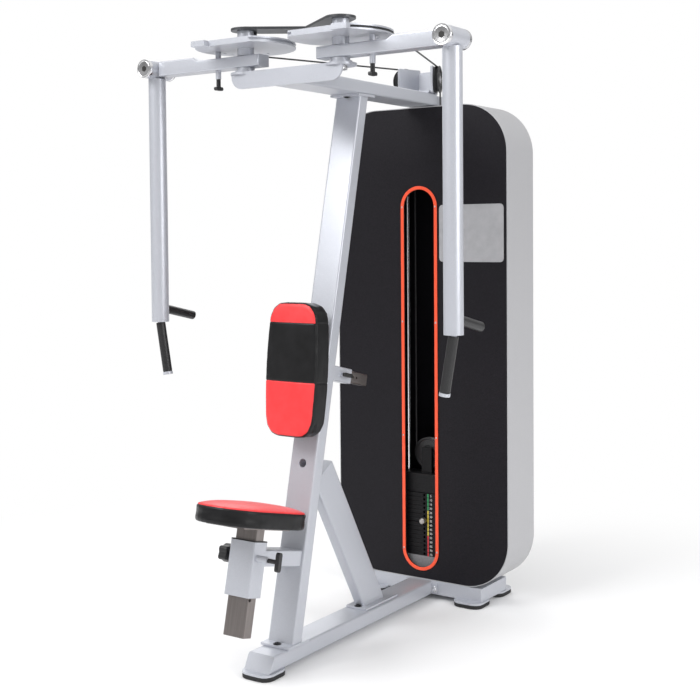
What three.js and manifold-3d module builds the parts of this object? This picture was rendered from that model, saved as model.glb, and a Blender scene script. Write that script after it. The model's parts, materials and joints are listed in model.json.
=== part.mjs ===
// Pec deck machine: a weight-stack machine with two swinging arms, a seat and a back pad.
// Millimetres, +Z up. The floor is z = 0 and the weight tower stands at the rear, towards +Y.
import * as THREE from 'three';
import { mergeVertices } from 'three/addons/utils/BufferGeometryUtils.js';
import Module from 'manifold-3d';

const wasm = await Module();
wasm.setup();

const radians = THREE.MathUtils.degToRad;

// Fits and shop habits
const seatGap = 0.3;
const runningGap = 0.5;
const weld = 1;
const overrun = 10;
const boltSides = 6;
const cornerSteps = 2;
const roundSides = 20;
const smallSides = 10;

// Main frame of rectangular tube
const tubeWidth = 100;
const tubeDepth = 50;
const tubeCorner = 7;
const tubeWall = 4;
const plateThickness = 8;
const lean = radians(13.065);
const floorClearance = 20;
const beamFrontReach = 118;
const beamFrontBevel = 26;
const towerFront = 875;
const endPlateWidth = 148;
const endPlateHeight = 42;
const endPlateThickness = 6;
const uprightFootReach = 28;
const uprightFootWidth = 112;
const uprightHeadReach = 22;
const accessHoleHeight = 576;
const accessHoleRadius = 14;

// Feet: a rubber pad under a steel plate
const footSize = 115;
const footCorner = 34;
const footRubber = 14;
const frontFootReach = 83;
const towerFootSpread = 205;
const towerFootFront = 897;
const towerFootRear = 1072;

// Brace behind the upright
const braceWidth = 40;
const braceDepth = 115;
const braceTilt = radians(30.2);
const braceFootFront = 459;
const braceFootSpan = 133;
const braceFootReach = 24;
const braceFootWidth = 84;
const braceLength = 1200;

// Top beam, yoke and link plate
const topBeamWidth = 120;
const topBeamHeight = 45;
const topBeamUnder = 1847;
const topBeamRear = 1080;
const topRailStart = 912;
const topRailWidth = 88;
const topRailHeight = 37;
const yokeFront = 56.6;
const yokeHalfWidth = 218;
const yokeDrop = 55;
const yokeCorner = 40;
const axleSpread = 188.5;
const axleDepth = 95;
const yokeEndRadius = 50;
const collarWideRadius = 36;
const collarWideHeight = 7;
const collarRadius = 29;
const linkApexSetback = 132;
const linkEndRadius = 48;
const linkThickness = 8;
const linkStopReach = 70;
const linkStopInset = 9;
const linkStopRadius = 6;
const linkStopDrop = 16;

// Main axles and what turns on them
const axleRadius = 12.5;
const axleNutRadius = 20;
const axleNutHeight = 12;
const axleCapRadius = 17;
const axleCapHeight = 6;
const armClearance = 16.7;
const armWidth = 60;
const armInnerHeight = 38;
const armOuterHeight = 50;
const armStepStart = 185;
const armStepEnd = 205;
const armTail = 75;
const armCorner = 6;
const hubHeight = 23.5;
const hubRadius = 27;
const camRadius = 165;
const camThickness = 18;
const camGrooveWidth = 7;
const camCableRadius = 160;
const camChord = 118;
const camSides = 32;
const camCollarHeight = 39;
const clampLength = 56;
const clampDepth = 20;
const clampSides = 8;
const indexRadius = 117;
const indexPitch = radians(15);
const indexHoles = 7;
const indexHoleRadius = 6;

// Pull pins under the arms
const pinTubeRadius = 9.5;
const pinTubeDrop = 27;
const pinRadius = 5;
const pinEngagement = 14;
const pinStemRadius = 7.5;
const pinStemLength = 25;
const pinGripLength = 34;
const pinGripThickness = 12;
const pinGripWidth = 13;

// Handles hanging from the arm ends
const handleReach = 393.5;
const teeRadius = 31.5;
const teeLength = 102;
const teeBore = 25;
const teeCapLength = 12;
const teeCapBevel = 3;
const teeAxleRadius = 8;
const teeSocketRadius = 7;
const teeSocketDepth = 6;
const tongueThickness = 26;
const tongueHeight = 22;
const tongueEyeRadius = 20;
const swivelRange = radians(10);
const handleRadius = 30;
const handleBottom = 1074;
const gripCoreRadius = 10.5;
const gripRadius = 16;
const gripRingRadius = 17;
const gripRingLength = 10;
const downGripLength = 172;
const downGripLean = radians(10);
const rearGripLength = 140;
const rearGripDrop = radians(12.5);
const rearGripHeight = 1117;
const rearGripRadius = 15.5;
const rearGripCap = 8;

// Weight tower
const towerHalfWidth = 366.5;
const towerTop = 1843;
const towerCorner = 180;
const towerArcSteps = 6;
const towerDepth = 212;
const skinWall = 3;
const panelThickness = 4;
const panelRecess = 1;
const slotHalfWidth = 78;
const slotBottom = 102;
const slotTop = 1550;
const slotTrimWidth = 12.5;
const slotTrimDepth = 5;
const placardLeft = 87;
const placardRight = 352;
const placardDrop = 365;
const placardHeight = 210;
const placardCorner = 14;
const placardThickness = 1.5;
const towerBaseHalfWidth = 257;
const towerBaseRear = 1076;
const towerBaseTube = 50;
const columnWidth = 50;
const columnDepth = 45;
const columnCentre = 1054;
const bridgeDrop = 243;
const bridgeThickness = 12;
const bridgeHalfWidth = 125;
const bridgeFront = 917;

// Weight stack
const stackCentre = 942;
const stackHalfWidth = 140;
const stackDepth = 80;
const stackBottom = 150;
const stackPlates = 15;
const selectedCount = 7;
const stackPlateHeight = 16;
const stackGroove = 1.6;
const headHeight = 73;
const headBevel = 4;
const rodSpread = 92;
const rodRadius = 10;
const rodClearance = 1.5;
const stemRadius = 12;
const stemFoot = 6;
const selectorRadius = 4.5;
const selectorClearance = 1;
const selectorKnobRadius = 12.5;
const selectorKnobLength = 18;
const selectorNeck = 4;

// Cables and pulleys
const cableRadius = 3;
const cableSides = 8;
const cableWrapSteps = 6;
const cableLinePasses = 8;
const camWrapSteps = 8;
const loopSteps = 12;
const pulleyCableRadius = 46;
const pulleyRim = 50.5;
const pulleyWidth = 18;
const pulleySides = 18;
const pulleyAxleRadius = 6;
const pulleyGrooveWidth = 8;
const dropSpread = 56;
const floatingRim = 59;
const floatingWidth = 20;
const floatingAxleRadius = 8;
const floatingHeight = 538;
const clevisWidth = 44;
const clevisThickness = 8;
const cheekThickness = 8;
const cheekFront = 44;
const cheekRear = 59;
const cheekRise = 47;
const cheekCorner = 5;
const cheekGap = 3;
const bracketBaseLength = 46;
const dropHoleRadius = 10;

// Seat
const postAxis = 225.7;
const postWidth = 80;
const postDepth = 40;
const postCorner = 4;
const postBottom = 39.5;
const sleeveBottom = 159;
const sleeveLength = 166;
const sleeveWidth = 96;
const sleeveDepth = 64;
const sleeveCorner = 6;
const linerWall = 2;
const linerFlange = 3;
const seatBracketTop = 302;
const seatBracketHeight = 50;
const seatBracketWidth = 84;
const seatPinHeight = 277;
const seatPinForward = 12;
const seatPinPitch = 25;
const seatPinHolesBelow = 1;
const seatPinHolesAbove = 5;
const popPinRadius = 5;
const popPinClearance = 0.6;
const popPinDepth = 10;
const seatBossRadius = 11;
const seatBossLength = 42;
const seatStemRadius = 7;
const seatStemLength = 31;
const seatGripHeight = 58;
const seatGripThickness = 14;
const seatGripWidth = 16;
const knobRadius = 30;
const knobWaist = 23;
const knobLobes = 5;
const knobThickness = 32;
const knobStandoff = 16;
const knobScrewRadius = 6;
const seatPlateThickness = 5;
const seatPlateWidth = 150;
const seatPlateLength = 230;
const seatPadHeight = 370.5;
const seatPadShift = 13;
const seatPadLength = 386;
const seatPadFrontWidth = 230;
const seatPadRearWidth = 266;
const seatPadCorner = 112;
const seatPadSide = 55;
const seatPadCrown = 14;

// Back pad
const padFaceReach = 142;
const padThickness = 85;
const padTilt = radians(8);
const padBottom = 656;
const padHeight = 438;
const padWidth = 208;
const padCorner = 52;
const padBow = 0.13;
const padCrown = 10;
const padPlateThickness = 6;
const padPlateWidth = 120;
const padPlateHeight = 220;
const padTubeSize = 40;
const padTubeCorner = 4;
const padTubeRear = 290;
const padAxis = 883;
const padSleeveSize = 50;
const padSleeveFront = 5;
const padSleeveRear = 185;
const padPinPlace = 125;
const padPinPitch = 20;
const padPinHolesAhead = 1;
const padPinHolesBehind = 5;
const padPinRadius = 4;
const padPinDepth = 8;
const padBossLength = 10;
const padBossRadius = 9;
const padLeverLength = 52;
const padLeverHeight = 14;
const padLeverThickness = 9;
const padLeverLap = 10;

// Cushion forms: how far each ring stands in from the widest outline, and its share of the height
const cushionSteps = 40;
const cushionTuck = 9;
const cushionRowShares = [
  [1, 0],
  [0.35, 0.02],
  [0, 0.18],
  [0.22, 0.5],
  [0, 0.84],
  [0.3, 1],
];
const crownRingShares = [
  [0.82, 0.55],
  [0.58, 0.85],
  [0.3, 0.98],
];

// Heights worked out from the sizes above
const beamTop = floorClearance + tubeDepth;
const topBeamTop = topBeamUnder + topBeamHeight;
const yokeUnder = topBeamTop + seatGap;
const yokeTop = yokeUnder + plateThickness;
const armUnder = yokeTop + armClearance;
const armInnerTop = armUnder + armInnerHeight;
const armOuterTop = armUnder + armOuterHeight;
const hubUnder = armInnerTop + runningGap;
const camUnder = hubUnder + hubHeight;
const camTop = camUnder + camThickness;
const cableHeight = camUnder + camThickness / 2;
const collarTop = camTop + camCollarHeight;
const linkUnder = collarTop + seatGap;
const linkTop = linkUnder + linkThickness;
const teeHeight = armUnder + armOuterHeight / 2;
const pulleyHeight = cableHeight - pulleyCableRadius;
const placardTop = towerTop - placardDrop;
const bridgeHeight = towerTop - bridgeDrop;
const stackTop = stackBottom + stackPlates * stackPlateHeight;
const selectedBottom = stackTop - selectedCount * stackPlateHeight;
const selectorHeight = selectedBottom + stackPlateHeight / 2;
const headTop = stackTop + headHeight;
const headRise = 3 * seatGap;
const floatingCentre = floatingHeight + headRise;
const boreRadius = axleRadius + runningGap;
const panelFace = towerFront + panelRecess;
const bandBottom = beamTop + seatGap;
const bandRear = towerFront + towerDepth;
const towerMiddle = (bandBottom + towerTop) / 2;
const sleeveTop = sleeveBottom + sleeveLength;
const linerWidth = postWidth + 2 * seatGap + 2 * linerWall;
const linerDepth = postDepth + 2 * seatGap + 2 * linerWall;
const pinBoreRadius = popPinRadius + seatGap;

// Materials
const steelSheen = { roughness: 0.4, metalness: 0.55 };
const framePaint = new THREE.MeshStandardMaterial({ color: 0xc3c7d2, ...steelSheen });
const bandPaint = new THREE.MeshStandardMaterial({ color: 0xcdcdd0, ...steelSheen });
const panelPaint = new THREE.MeshStandardMaterial({ color: 0x232326, roughness: 0.8, metalness: 0.1 });
const trimPaint = new THREE.MeshStandardMaterial({ color: 0xf2502f, roughness: 0.45, metalness: 0 });
const placardFilm = new THREE.MeshStandardMaterial({ color: 0xb9bac0, roughness: 0.6, metalness: 0 });
const redVinyl = new THREE.MeshStandardMaterial({ color: 0xf04a4c, roughness: 0.5, metalness: 0 });
const rubber = new THREE.MeshStandardMaterial({ color: 0x151517, roughness: 0.85, metalness: 0 });
const blackPlastic = new THREE.MeshStandardMaterial({ color: 0x18181a, roughness: 0.5, metalness: 0 });
const bareSteel = new THREE.MeshStandardMaterial({ color: 0x9b948c, roughness: 0.35, metalness: 0.9 });
const chrome = new THREE.MeshStandardMaterial({ color: 0xd8d8dc, roughness: 0.12, metalness: 1 });
const darkSteel = new THREE.MeshStandardMaterial({ color: 0x55585d, roughness: 0.5, metalness: 0.6 });
const castPaint = new THREE.MeshStandardMaterial({ color: 0x1d1e20, roughness: 0.6, metalness: 0.4 });

// Solids: a closed geometry becomes a solid for a join or a cut, and comes back as a geometry
function toSolid(geometry) {
  const bare = geometry.clone();
  bare.deleteAttribute('normal');
  bare.deleteAttribute('uv');
  const merged = mergeVertices(bare);
  return new wasm.Manifold(new wasm.Mesh({
    numProp: 3,
    vertProperties: new Float32Array(merged.attributes.position.array),
    triVerts: new Uint32Array(merged.index.array),
  }));
}

function toGeometry(solid) {
  const mesh = solid.getMesh();
  const geometry = new THREE.BufferGeometry();
  geometry.setAttribute('position', new THREE.BufferAttribute(mesh.vertProperties, 3));
  geometry.setIndex(new THREE.BufferAttribute(mesh.triVerts, 1));
  geometry.computeVertexNormals();
  return geometry;
}

function join(...geometries) {
  return toGeometry(geometries.map(toSolid).reduce((whole, piece) => whole.add(piece)));
}

function cut(body, ...tools) {
  return toGeometry(tools.map(toSolid).reduce((whole, tool) => whole.subtract(tool), toSolid(body)));
}

function common(first, ...others) {
  return toGeometry(others.map(toSolid).reduce((whole, other) => whole.intersect(other), toSolid(first)));
}

// Outlines
function roundedRectangle(width, height, radius) {
  const x = width / 2;
  const y = height / 2;
  const outline = new THREE.Shape();
  outline.moveTo(-x + radius, -y);
  outline.lineTo(x - radius, -y);
  outline.absarc(x - radius, -y + radius, radius, -Math.PI / 2, 0);
  outline.lineTo(x, y - radius);
  outline.absarc(x - radius, y - radius, radius, 0, Math.PI / 2);
  outline.lineTo(-x + radius, y);
  outline.absarc(-x + radius, y - radius, radius, Math.PI / 2, Math.PI);
  outline.lineTo(-x, -y + radius);
  outline.absarc(-x + radius, -y + radius, radius, Math.PI, 1.5 * Math.PI);
  return outline;
}

function polygon(points) {
  return new THREE.Shape(points.map(([x, y]) => new THREE.Vector2(x, y)));
}

// Extrusions are centred on their own length
function extruded(shape, length, steps = cornerSteps) {
  const options = { depth: length, bevelEnabled: false, curveSegments: steps };
  return new THREE.ExtrudeGeometry(shape, options).translate(0, 0, -length / 2);
}

function bevelled(shape, length, bevel, steps = cornerSteps) {
  const options = {
    depth: length - 2 * bevel,
    bevelThickness: bevel,
    bevelSize: bevel,
    bevelOffset: -bevel,
    bevelSegments: 2,
    curveSegments: steps,
  };
  return new THREE.ExtrudeGeometry(shape, options).translate(0, 0, bevel - length / 2);
}

// A profile drawn in (Y, Z) is extruded along X, and one drawn in (X, Z) along Y
const xAxis = new THREE.Vector3(1, 0, 0);
const yAxis = new THREE.Vector3(0, 1, 0);
const zAxis = new THREE.Vector3(0, 0, 1);
const sideOn = new THREE.Matrix4().makeBasis(yAxis, zAxis, xAxis);
const frontOn = new THREE.Matrix4().makeBasis(xAxis, zAxis, yAxis.clone().negate());
const alongX = (geometry) => geometry.applyMatrix4(sideOn);
const alongY = (geometry) => geometry.applyMatrix4(frontOn);

function block(x0, x1, y0, y1, z0, z1) {
  const geometry = new THREE.BoxGeometry(x1 - x0, y1 - y0, z1 - z0);
  return geometry.translate((x0 + x1) / 2, (y0 + y1) / 2, (z0 + z1) / 2);
}

function rod(radius, bottom, top, sides = roundSides) {
  const geometry = new THREE.CylinderGeometry(radius, radius, top - bottom, sides);
  return geometry.rotateX(Math.PI / 2).translate(0, 0, (bottom + top) / 2);
}

// A profile of [radius, height] pairs turned about Z; it closes on itself or starts and ends on the axis
function turned(profile, sides = roundSides) {
  const points = profile.map(([radius, height]) => new THREE.Vector2(radius, height));
  if (profile[0][0] > 0) points.push(points[0].clone());
  return new THREE.LatheGeometry(points, sides).rotateX(Math.PI / 2);
}

// The machine stands in one group, and what leans with the upright stands in a turned group.
// In the leaned group X is across, Y is square to the upright and Z runs up it.
const machine = new THREE.Group();
const leaned = new THREE.Group();
leaned.position.z = beamTop;
leaned.rotation.x = -lean;
machine.add(leaned);

function place(parent, name, geometry, material) {
  const mesh = new THREE.Mesh(geometry, material);
  mesh.name = name;
  parent.add(mesh);
  return mesh;
}

function leanOver(geometry) {
  return geometry.rotateX(-lean).translate(0, 0, beamTop);
}

// Feet: each steel plate is welded under its beam, and the rubber pad is bolted below it
function footPlate(x, y) {
  const outline = roundedRectangle(footSize, footSize, footCorner);
  const bottom = footRubber + seatGap;
  const height = floorClearance + weld - bottom;
  return extruded(outline, height).translate(x, y, bottom + height / 2);
}

function footPad() {
  const outline = roundedRectangle(footSize, footSize, footCorner);
  return extruded(outline, footRubber).translate(0, 0, footRubber / 2);
}

// Base beam: one tube along the floor, cut at a slant in front, with its foot plate and end plate
function baseBeam() {
  const rear = towerFront - seatGap;
  const length = rear + beamFrontReach;
  const outline = roundedRectangle(tubeWidth, tubeDepth, tubeCorner);
  const tube = alongY(extruded(outline, length)).translate(0, rear - length / 2, beamTop - tubeDepth / 2);
  const profile = polygon([
    [-beamFrontReach, floorClearance],
    [rear, floorClearance],
    [rear, beamTop],
    [beamFrontBevel - beamFrontReach, beamTop],
  ]);
  const endOutline = roundedRectangle(endPlateWidth, endPlateHeight, tubeCorner);
  const endPlate = alongY(extruded(endOutline, endPlateThickness));
  endPlate.translate(0, rear - endPlateThickness / 2, beamTop - tubeDepth / 2);
  const cutTube = common(tube, alongX(extruded(profile, tubeWidth + overrun)));
  return join(cutTube, footPlate(0, -frontFootReach), endPlate);
}

// Upright: a leaning tube between two flanges, with the access hole and the window of the pad sleeve
function upright() {
  const bottom = beamTop + seatGap;
  const top = topBeamUnder - seatGap;
  const length = (top + tubeDepth) / Math.cos(lean);
  const outline = roundedRectangle(tubeWidth, tubeDepth, tubeCorner);
  const bar = leanOver(extruded(outline, length).translate(0, tubeDepth / 2, length / 2 - tubeDepth));
  const headFront = (top - beamTop) * Math.tan(lean);
  const tubeSpan = tubeDepth / Math.cos(lean);
  const slab = block(-tubeWidth, tubeWidth, -tubeWidth, headFront + 2 * tubeWidth, bottom, top);
  const foot = block(
    -uprightFootWidth / 2, uprightFootWidth / 2,
    -uprightFootReach, tubeSpan + uprightFootReach, bottom, bottom + plateThickness,
  );
  const head = block(
    -topBeamWidth / 2, topBeamWidth / 2,
    headFront - uprightHeadReach, headFront + tubeSpan + uprightHeadReach, top - plateThickness, top,
  );
  const access = rod(accessHoleRadius, -overrun, tubeDepth - tubeWall).rotateX(-Math.PI / 2);
  const windowSize = padSleeveSize + 2 * seatGap;
  const window = new THREE.BoxGeometry(windowSize, tubeDepth + 2 * overrun, windowSize);
  return cut(
    join(common(bar, slab), foot, head),
    leanOver(access.translate(0, 0, accessHoleHeight)),
    leanOver(window.translate(0, tubeDepth / 2, padAxis)),
  );
}

// Brace: a deep narrow tube from the back of the upright down to its plate on the base beam
function brace() {
  const footCentre = braceFootFront + braceFootSpan / 2;
  const bottom = beamTop + seatGap;
  const outline = roundedRectangle(braceWidth, braceDepth, tubeCorner);
  const bar = extruded(outline, braceLength).rotateX(braceTilt).translate(0, footCentre, beamTop);
  const behind = leanOver(block(
    -tubeWidth, tubeWidth,
    tubeDepth + seatGap, tubeDepth + braceLength, -braceLength, braceLength,
  ));
  const above = block(-tubeWidth, tubeWidth, 0, braceLength, bottom, braceLength);
  const foot = block(
    -braceFootWidth / 2, braceFootWidth / 2,
    braceFootFront - braceFootReach, braceFootFront + braceFootSpan + 2 * braceFootReach,
    bottom, bottom + plateThickness,
  );
  return join(common(bar, behind, above), foot);
}

// Top beam: a wide tube out to the yoke, and a narrower rail inside it that leaves room for the cables
function topBeam() {
  const front = yokeFront + plateThickness + seatGap;
  const length = topRailStart - front;
  const railFront = topRailStart - topBeamHeight;
  const railLength = topBeamRear - railFront;
  const middle = topBeamUnder + topBeamHeight / 2;
  const beam = alongY(extruded(roundedRectangle(topBeamWidth, topBeamHeight, tubeCorner), length));
  const rail = alongY(extruded(roundedRectangle(topRailWidth, topRailHeight, tubeWall), railLength));
  return join(
    beam.translate(0, front + length / 2, middle),
    rail.translate(0, railFront + railLength / 2, middle),
  );
}

// Yoke: a plate over the top beam, folded down in front, with a stepped collar under each arm
function yoke() {
  const ends = [-1, 1].map((side) => rod(yokeEndRadius, yokeUnder, yokeTop).translate(side * axleSpread, axleDepth, 0));
  const rear = axleDepth + yokeEndRadius;
  const front = new THREE.Shape();
  const bottom = yokeTop - yokeDrop;
  front.moveTo(-yokeHalfWidth, yokeTop);
  front.lineTo(-yokeHalfWidth, bottom + yokeCorner);
  front.absarc(-yokeHalfWidth + yokeCorner, bottom + yokeCorner, yokeCorner, Math.PI, 1.5 * Math.PI);
  front.lineTo(yokeHalfWidth - yokeCorner, bottom);
  front.absarc(yokeHalfWidth - yokeCorner, bottom + yokeCorner, yokeCorner, -Math.PI / 2, 0);
  front.lineTo(yokeHalfWidth, yokeTop);
  const frontPlate = alongY(extruded(front, plateThickness, 2 * cornerSteps));
  frontPlate.translate(0, yokeFront + plateThickness / 2, 0);
  const topPlate = block(-axleSpread, axleSpread, yokeFront, rear, yokeUnder, yokeTop);
  const bosses = [-1, 1].map((side) => turned([
    [0, yokeTop - weld],
    [collarWideRadius, yokeTop - weld],
    [collarWideRadius, yokeTop + collarWideHeight],
    [collarRadius, yokeTop + collarWideHeight],
    [collarRadius, armUnder - seatGap],
    [0, armUnder - seatGap],
  ]).translate(side * axleSpread, axleDepth, 0));
  const bores = [-1, 1].map((side) => (
    rod(axleRadius + seatGap, yokeUnder - overrun, armUnder + overrun).translate(side * axleSpread, axleDepth, 0)
  ));
  return cut(join(topPlate, ...ends, frontPlate, ...bosses), ...bores);
}

// Link plate: two round-ended straps that meet behind the axles and tie the axle tops together
function linkPlate() {
  const reach = Math.hypot(axleSpread, linkApexSetback);
  const turn = Math.atan2(linkApexSetback, axleSpread);
  const straps = [-1, 1].map((side) => {
    const outline = roundedRectangle(reach + 2 * linkEndRadius, 2 * linkEndRadius, linkEndRadius - seatGap);
    const strap = extruded(outline, linkThickness, 2 * cornerSteps).rotateZ(-side * turn);
    return strap.translate(side * axleSpread / 2, axleDepth + linkApexSetback / 2, linkUnder + linkThickness / 2);
  });
  const stops = [-1, 1].map((side) => (
    rod(linkStopRadius, linkUnder - linkStopDrop, linkUnder + weld, smallSides)
      .translate(side * (axleSpread - linkStopInset), axleDepth + linkEndRadius - linkStopInset, 0)
  ));
  const bores = [-1, 1].map((side) => (
    rod(axleRadius + seatGap, linkUnder - overrun, linkTop + overrun).translate(side * axleSpread, axleDepth, 0)
  ));
  return cut(join(...straps, ...stops), ...bores);
}

// Axle: a long bolt with a nut under the yoke and a flat cap on the link plate
function axle() {
  return turned([
    [0, yokeUnder - seatGap - axleNutHeight],
    [axleNutRadius, yokeUnder - seatGap - axleNutHeight],
    [axleNutRadius, yokeUnder - seatGap],
    [axleRadius, yokeUnder - seatGap],
    [axleRadius, linkTop + seatGap],
    [axleCapRadius, linkTop + seatGap],
    [axleCapRadius, linkTop + seatGap + axleCapHeight],
    [0, linkTop + seatGap + axleCapHeight],
  ]);
}

place(machine, 'base_beam', baseBeam(), framePaint);
place(machine, 'front_foot', footPad(), rubber).position.y = -frontFootReach;
place(machine, 'upright', upright(), framePaint);
place(machine, 'brace', brace(), framePaint);
place(machine, 'top_beam', topBeam(), framePaint);
place(machine, 'yoke', yoke(), framePaint);
place(machine, 'link_plate', linkPlate(), darkSteel);

// Tower base: a ring of tube on four feet
function towerBase() {
  const width = 2 * towerBaseHalfWidth;
  const depth = towerBaseRear - towerFront;
  const outline = roundedRectangle(width, depth, tubeWall);
  outline.holes.push(roundedRectangle(width - 2 * towerBaseTube, depth - 2 * towerBaseTube, tubeWall));
  const ring = extruded(outline, tubeDepth).translate(0, towerFront + depth / 2, beamTop - tubeDepth / 2);
  const plates = [-1, 1].flatMap((side) => [towerFootFront, towerFootRear].map((y) => (
    footPlate(side * towerFootSpread, y)
  )));
  return join(ring, ...plates);
}

place(machine, 'tower_base', towerBase(), framePaint);
const towerFeet = {
  tower_foot_front_left: [-towerFootSpread, towerFootFront],
  tower_foot_front_right: [towerFootSpread, towerFootFront],
  tower_foot_rear_left: [-towerFootSpread, towerFootRear],
  tower_foot_rear_right: [towerFootSpread, towerFootRear],
};
for (const [name, [x, y]] of Object.entries(towerFeet)) {
  place(machine, name, footPad(), rubber).position.set(x, y, 0);
}

function dropHoles(bottom, top) {
  return [-1, 1].map((side) => (
    rod(dropHoleRadius, bottom - overrun, top + overrun).translate(side * dropSpread, stackCentre, 0)
  ));
}

// Column behind the stack: it carries the top rail, and its bridge holds the guide rods
function towerColumn() {
  const bottom = bandBottom;
  const top = topBeamUnder + (topBeamHeight - topRailHeight) / 2 - seatGap;
  const outline = roundedRectangle(columnWidth, columnDepth, tubeWall);
  const tube = extruded(outline, top - bottom).translate(0, columnCentre, (top + bottom) / 2);
  const bridge = block(
    -bridgeHalfWidth, bridgeHalfWidth, bridgeFront, columnCentre, bridgeHeight, bridgeHeight + bridgeThickness,
  );
  return cut(join(tube, bridge), ...dropHoles(bridgeHeight, bridgeHeight + bridgeThickness));
}

// Housing: a deep rounded band, a front panel with the slot, and a plain rear panel
function towerOutline(inset) {
  const height = towerTop - bandBottom - 2 * inset;
  return roundedRectangle(2 * (towerHalfWidth - inset), height, towerCorner - inset);
}

function housingBand() {
  const outline = towerOutline(0);
  outline.holes.push(towerOutline(skinWall));
  const band = alongY(extruded(outline, towerDepth, towerArcSteps));
  band.translate(0, towerFront + towerDepth / 2, towerMiddle);
  const columnHole = block(
    -columnWidth / 2 - seatGap, columnWidth / 2 + seatGap,
    columnCentre - columnDepth / 2 - seatGap, columnCentre + columnDepth / 2 + seatGap,
    bandBottom - overrun, towerTop + overrun,
  );
  return cut(band, columnHole, ...dropHoles(towerTop, towerTop));
}

function panelBlank(y) {
  const blank = alongY(extruded(towerOutline(skinWall + seatGap), panelThickness, towerArcSteps));
  return blank.translate(0, y + panelThickness / 2, towerMiddle);
}

function slotOutline(inset) {
  const width = 2 * (slotHalfWidth - inset);
  return roundedRectangle(width, slotTop - slotBottom - 2 * inset, width / 2 - seatGap);
}

function frontPanel() {
  const slot = alongY(extruded(slotOutline(slotTrimWidth - seatGap), panelThickness + 2 * overrun, towerArcSteps));
  return cut(panelBlank(panelFace), slot.translate(0, panelFace, (slotTop + slotBottom) / 2));
}

function slotTrim() {
  const outline = slotOutline(0);
  outline.holes.push(slotOutline(slotTrimWidth));
  const ring = alongY(extruded(outline, slotTrimDepth, towerArcSteps));
  return ring.translate(0, panelFace - seatGap - slotTrimDepth / 2, (slotTop + slotBottom) / 2);
}

function placard() {
  const outline = roundedRectangle(placardRight - placardLeft, placardHeight, placardCorner);
  const sheet = alongY(extruded(outline, placardThickness));
  const x = (placardLeft + placardRight) / 2;
  return sheet.translate(x, panelFace - seatGap - placardThickness / 2, placardTop - placardHeight / 2);
}

place(machine, 'tower_column', towerColumn(), framePaint);
place(machine, 'housing_band', housingBand(), bandPaint);
place(machine, 'front_panel', frontPanel(), panelPaint);
place(machine, 'rear_panel', panelBlank(bandRear - panelRecess - panelThickness), panelPaint);
place(machine, 'slot_trim', slotTrim(), trimPaint);
place(machine, 'placard', placard(), placardFilm);

// Weight stack: plates bored for the two guide rods and the stem, each with a hole for the pin
function rodBores(bottom, top) {
  const radius = rodRadius + rodClearance;
  return [-1, 1].map((side) => rod(radius, bottom - overrun, top + overrun, smallSides).translate(side * rodSpread, 0, 0));
}

function stemBore(bottom, top) {
  return rod(stemRadius + rodClearance, bottom - overrun, top + overrun, smallSides);
}

function selectorHole(height, radius) {
  return rod(radius, 0, stackDepth, boltSides).rotateX(Math.PI / 2).translate(0, 0, height);
}

function plateBlock(bottom, count) {
  const gap = stackGroove / 2;
  const plates = Array.from({ length: count }, (_, i) => block(
    -stackHalfWidth, stackHalfWidth, -stackDepth / 2, stackDepth / 2,
    bottom + i * stackPlateHeight + gap, bottom + (i + 1) * stackPlateHeight - gap,
  ));
  const core = block(
    stackGroove - stackHalfWidth, stackHalfWidth - stackGroove,
    stackGroove - stackDepth / 2, stackDepth / 2 - stackGroove,
    bottom + gap + weld, bottom + count * stackPlateHeight - gap - weld,
  );
  const holes = Array.from({ length: count }, (_, i) => (
    selectorHole(bottom + (i + 0.5) * stackPlateHeight, selectorRadius + selectorClearance)
  ));
  const top = bottom + count * stackPlateHeight;
  return cut(join(core, ...plates), ...rodBores(bottom, top), stemBore(bottom, top), ...holes);
}

// The plinth is the rubber-topped block that the lowest plate rests on
function stackPlinth() {
  const bottom = bandBottom + skinWall + seatGap;
  const top = stackBottom + stackGroove / 2;
  const body = block(-stackHalfWidth, stackHalfWidth, -stackDepth / 2, stackDepth / 2, bottom, top);
  return cut(body, ...rodBores(bottom, top), stemBore(bottom, top));
}

// Head: the top block with the stem below it, and above it the clevis of the floating pulley
function headPlate() {
  const bottom = stackTop;
  const outline = roundedRectangle(2 * stackHalfWidth, headHeight, 2 * headBevel);
  const body = alongY(bevelled(outline, stackDepth, headBevel)).translate(0, 0, bottom + headHeight / 2);
  const stem = rod(stemRadius, stackBottom + stemFoot, bottom + weld, smallSides);
  const holes = Array.from({ length: stackPlates }, (_, i) => (
    rod(selectorRadius + selectorClearance, -stackDepth, stackDepth, boltSides)
      .rotateX(Math.PI / 2).translate(0, 0, stackBottom + (i + 0.5) * stackPlateHeight)
  ));
  const inner = floatingWidth / 2 + cheekGap;
  const cheekTop = floatingHeight + clevisWidth / 2;
  const cheeks = [-1, 1].map((side) => {
    const near = side * inner;
    const far = side * (inner + clevisThickness);
    return block(-clevisWidth / 2, clevisWidth / 2, Math.min(near, far), Math.max(near, far), headTop - weld, cheekTop);
  });
  const axlePin = rod(floatingAxleRadius, -inner - clevisThickness / 2, inner + clevisThickness / 2, smallSides);
  axlePin.rotateX(Math.PI / 2).translate(0, 0, floatingHeight);
  return cut(join(cut(join(body, stem), ...holes), ...cheeks, axlePin), ...rodBores(bottom, headTop));
}

// Grooved pulley turned about Z, bored for its axle
function pulley(rim, cableLine, width, bore, sides) {
  const floor = cableLine - cableRadius - runningGap;
  const groove = pulleyGrooveWidth / 2;
  return turned([
    [bore, -width / 2],
    [rim, -width / 2],
    [rim, -groove],
    [floor, -groove],
    [floor, groove],
    [rim, groove],
    [rim, width / 2],
    [bore, width / 2],
  ], sides);
}

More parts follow.
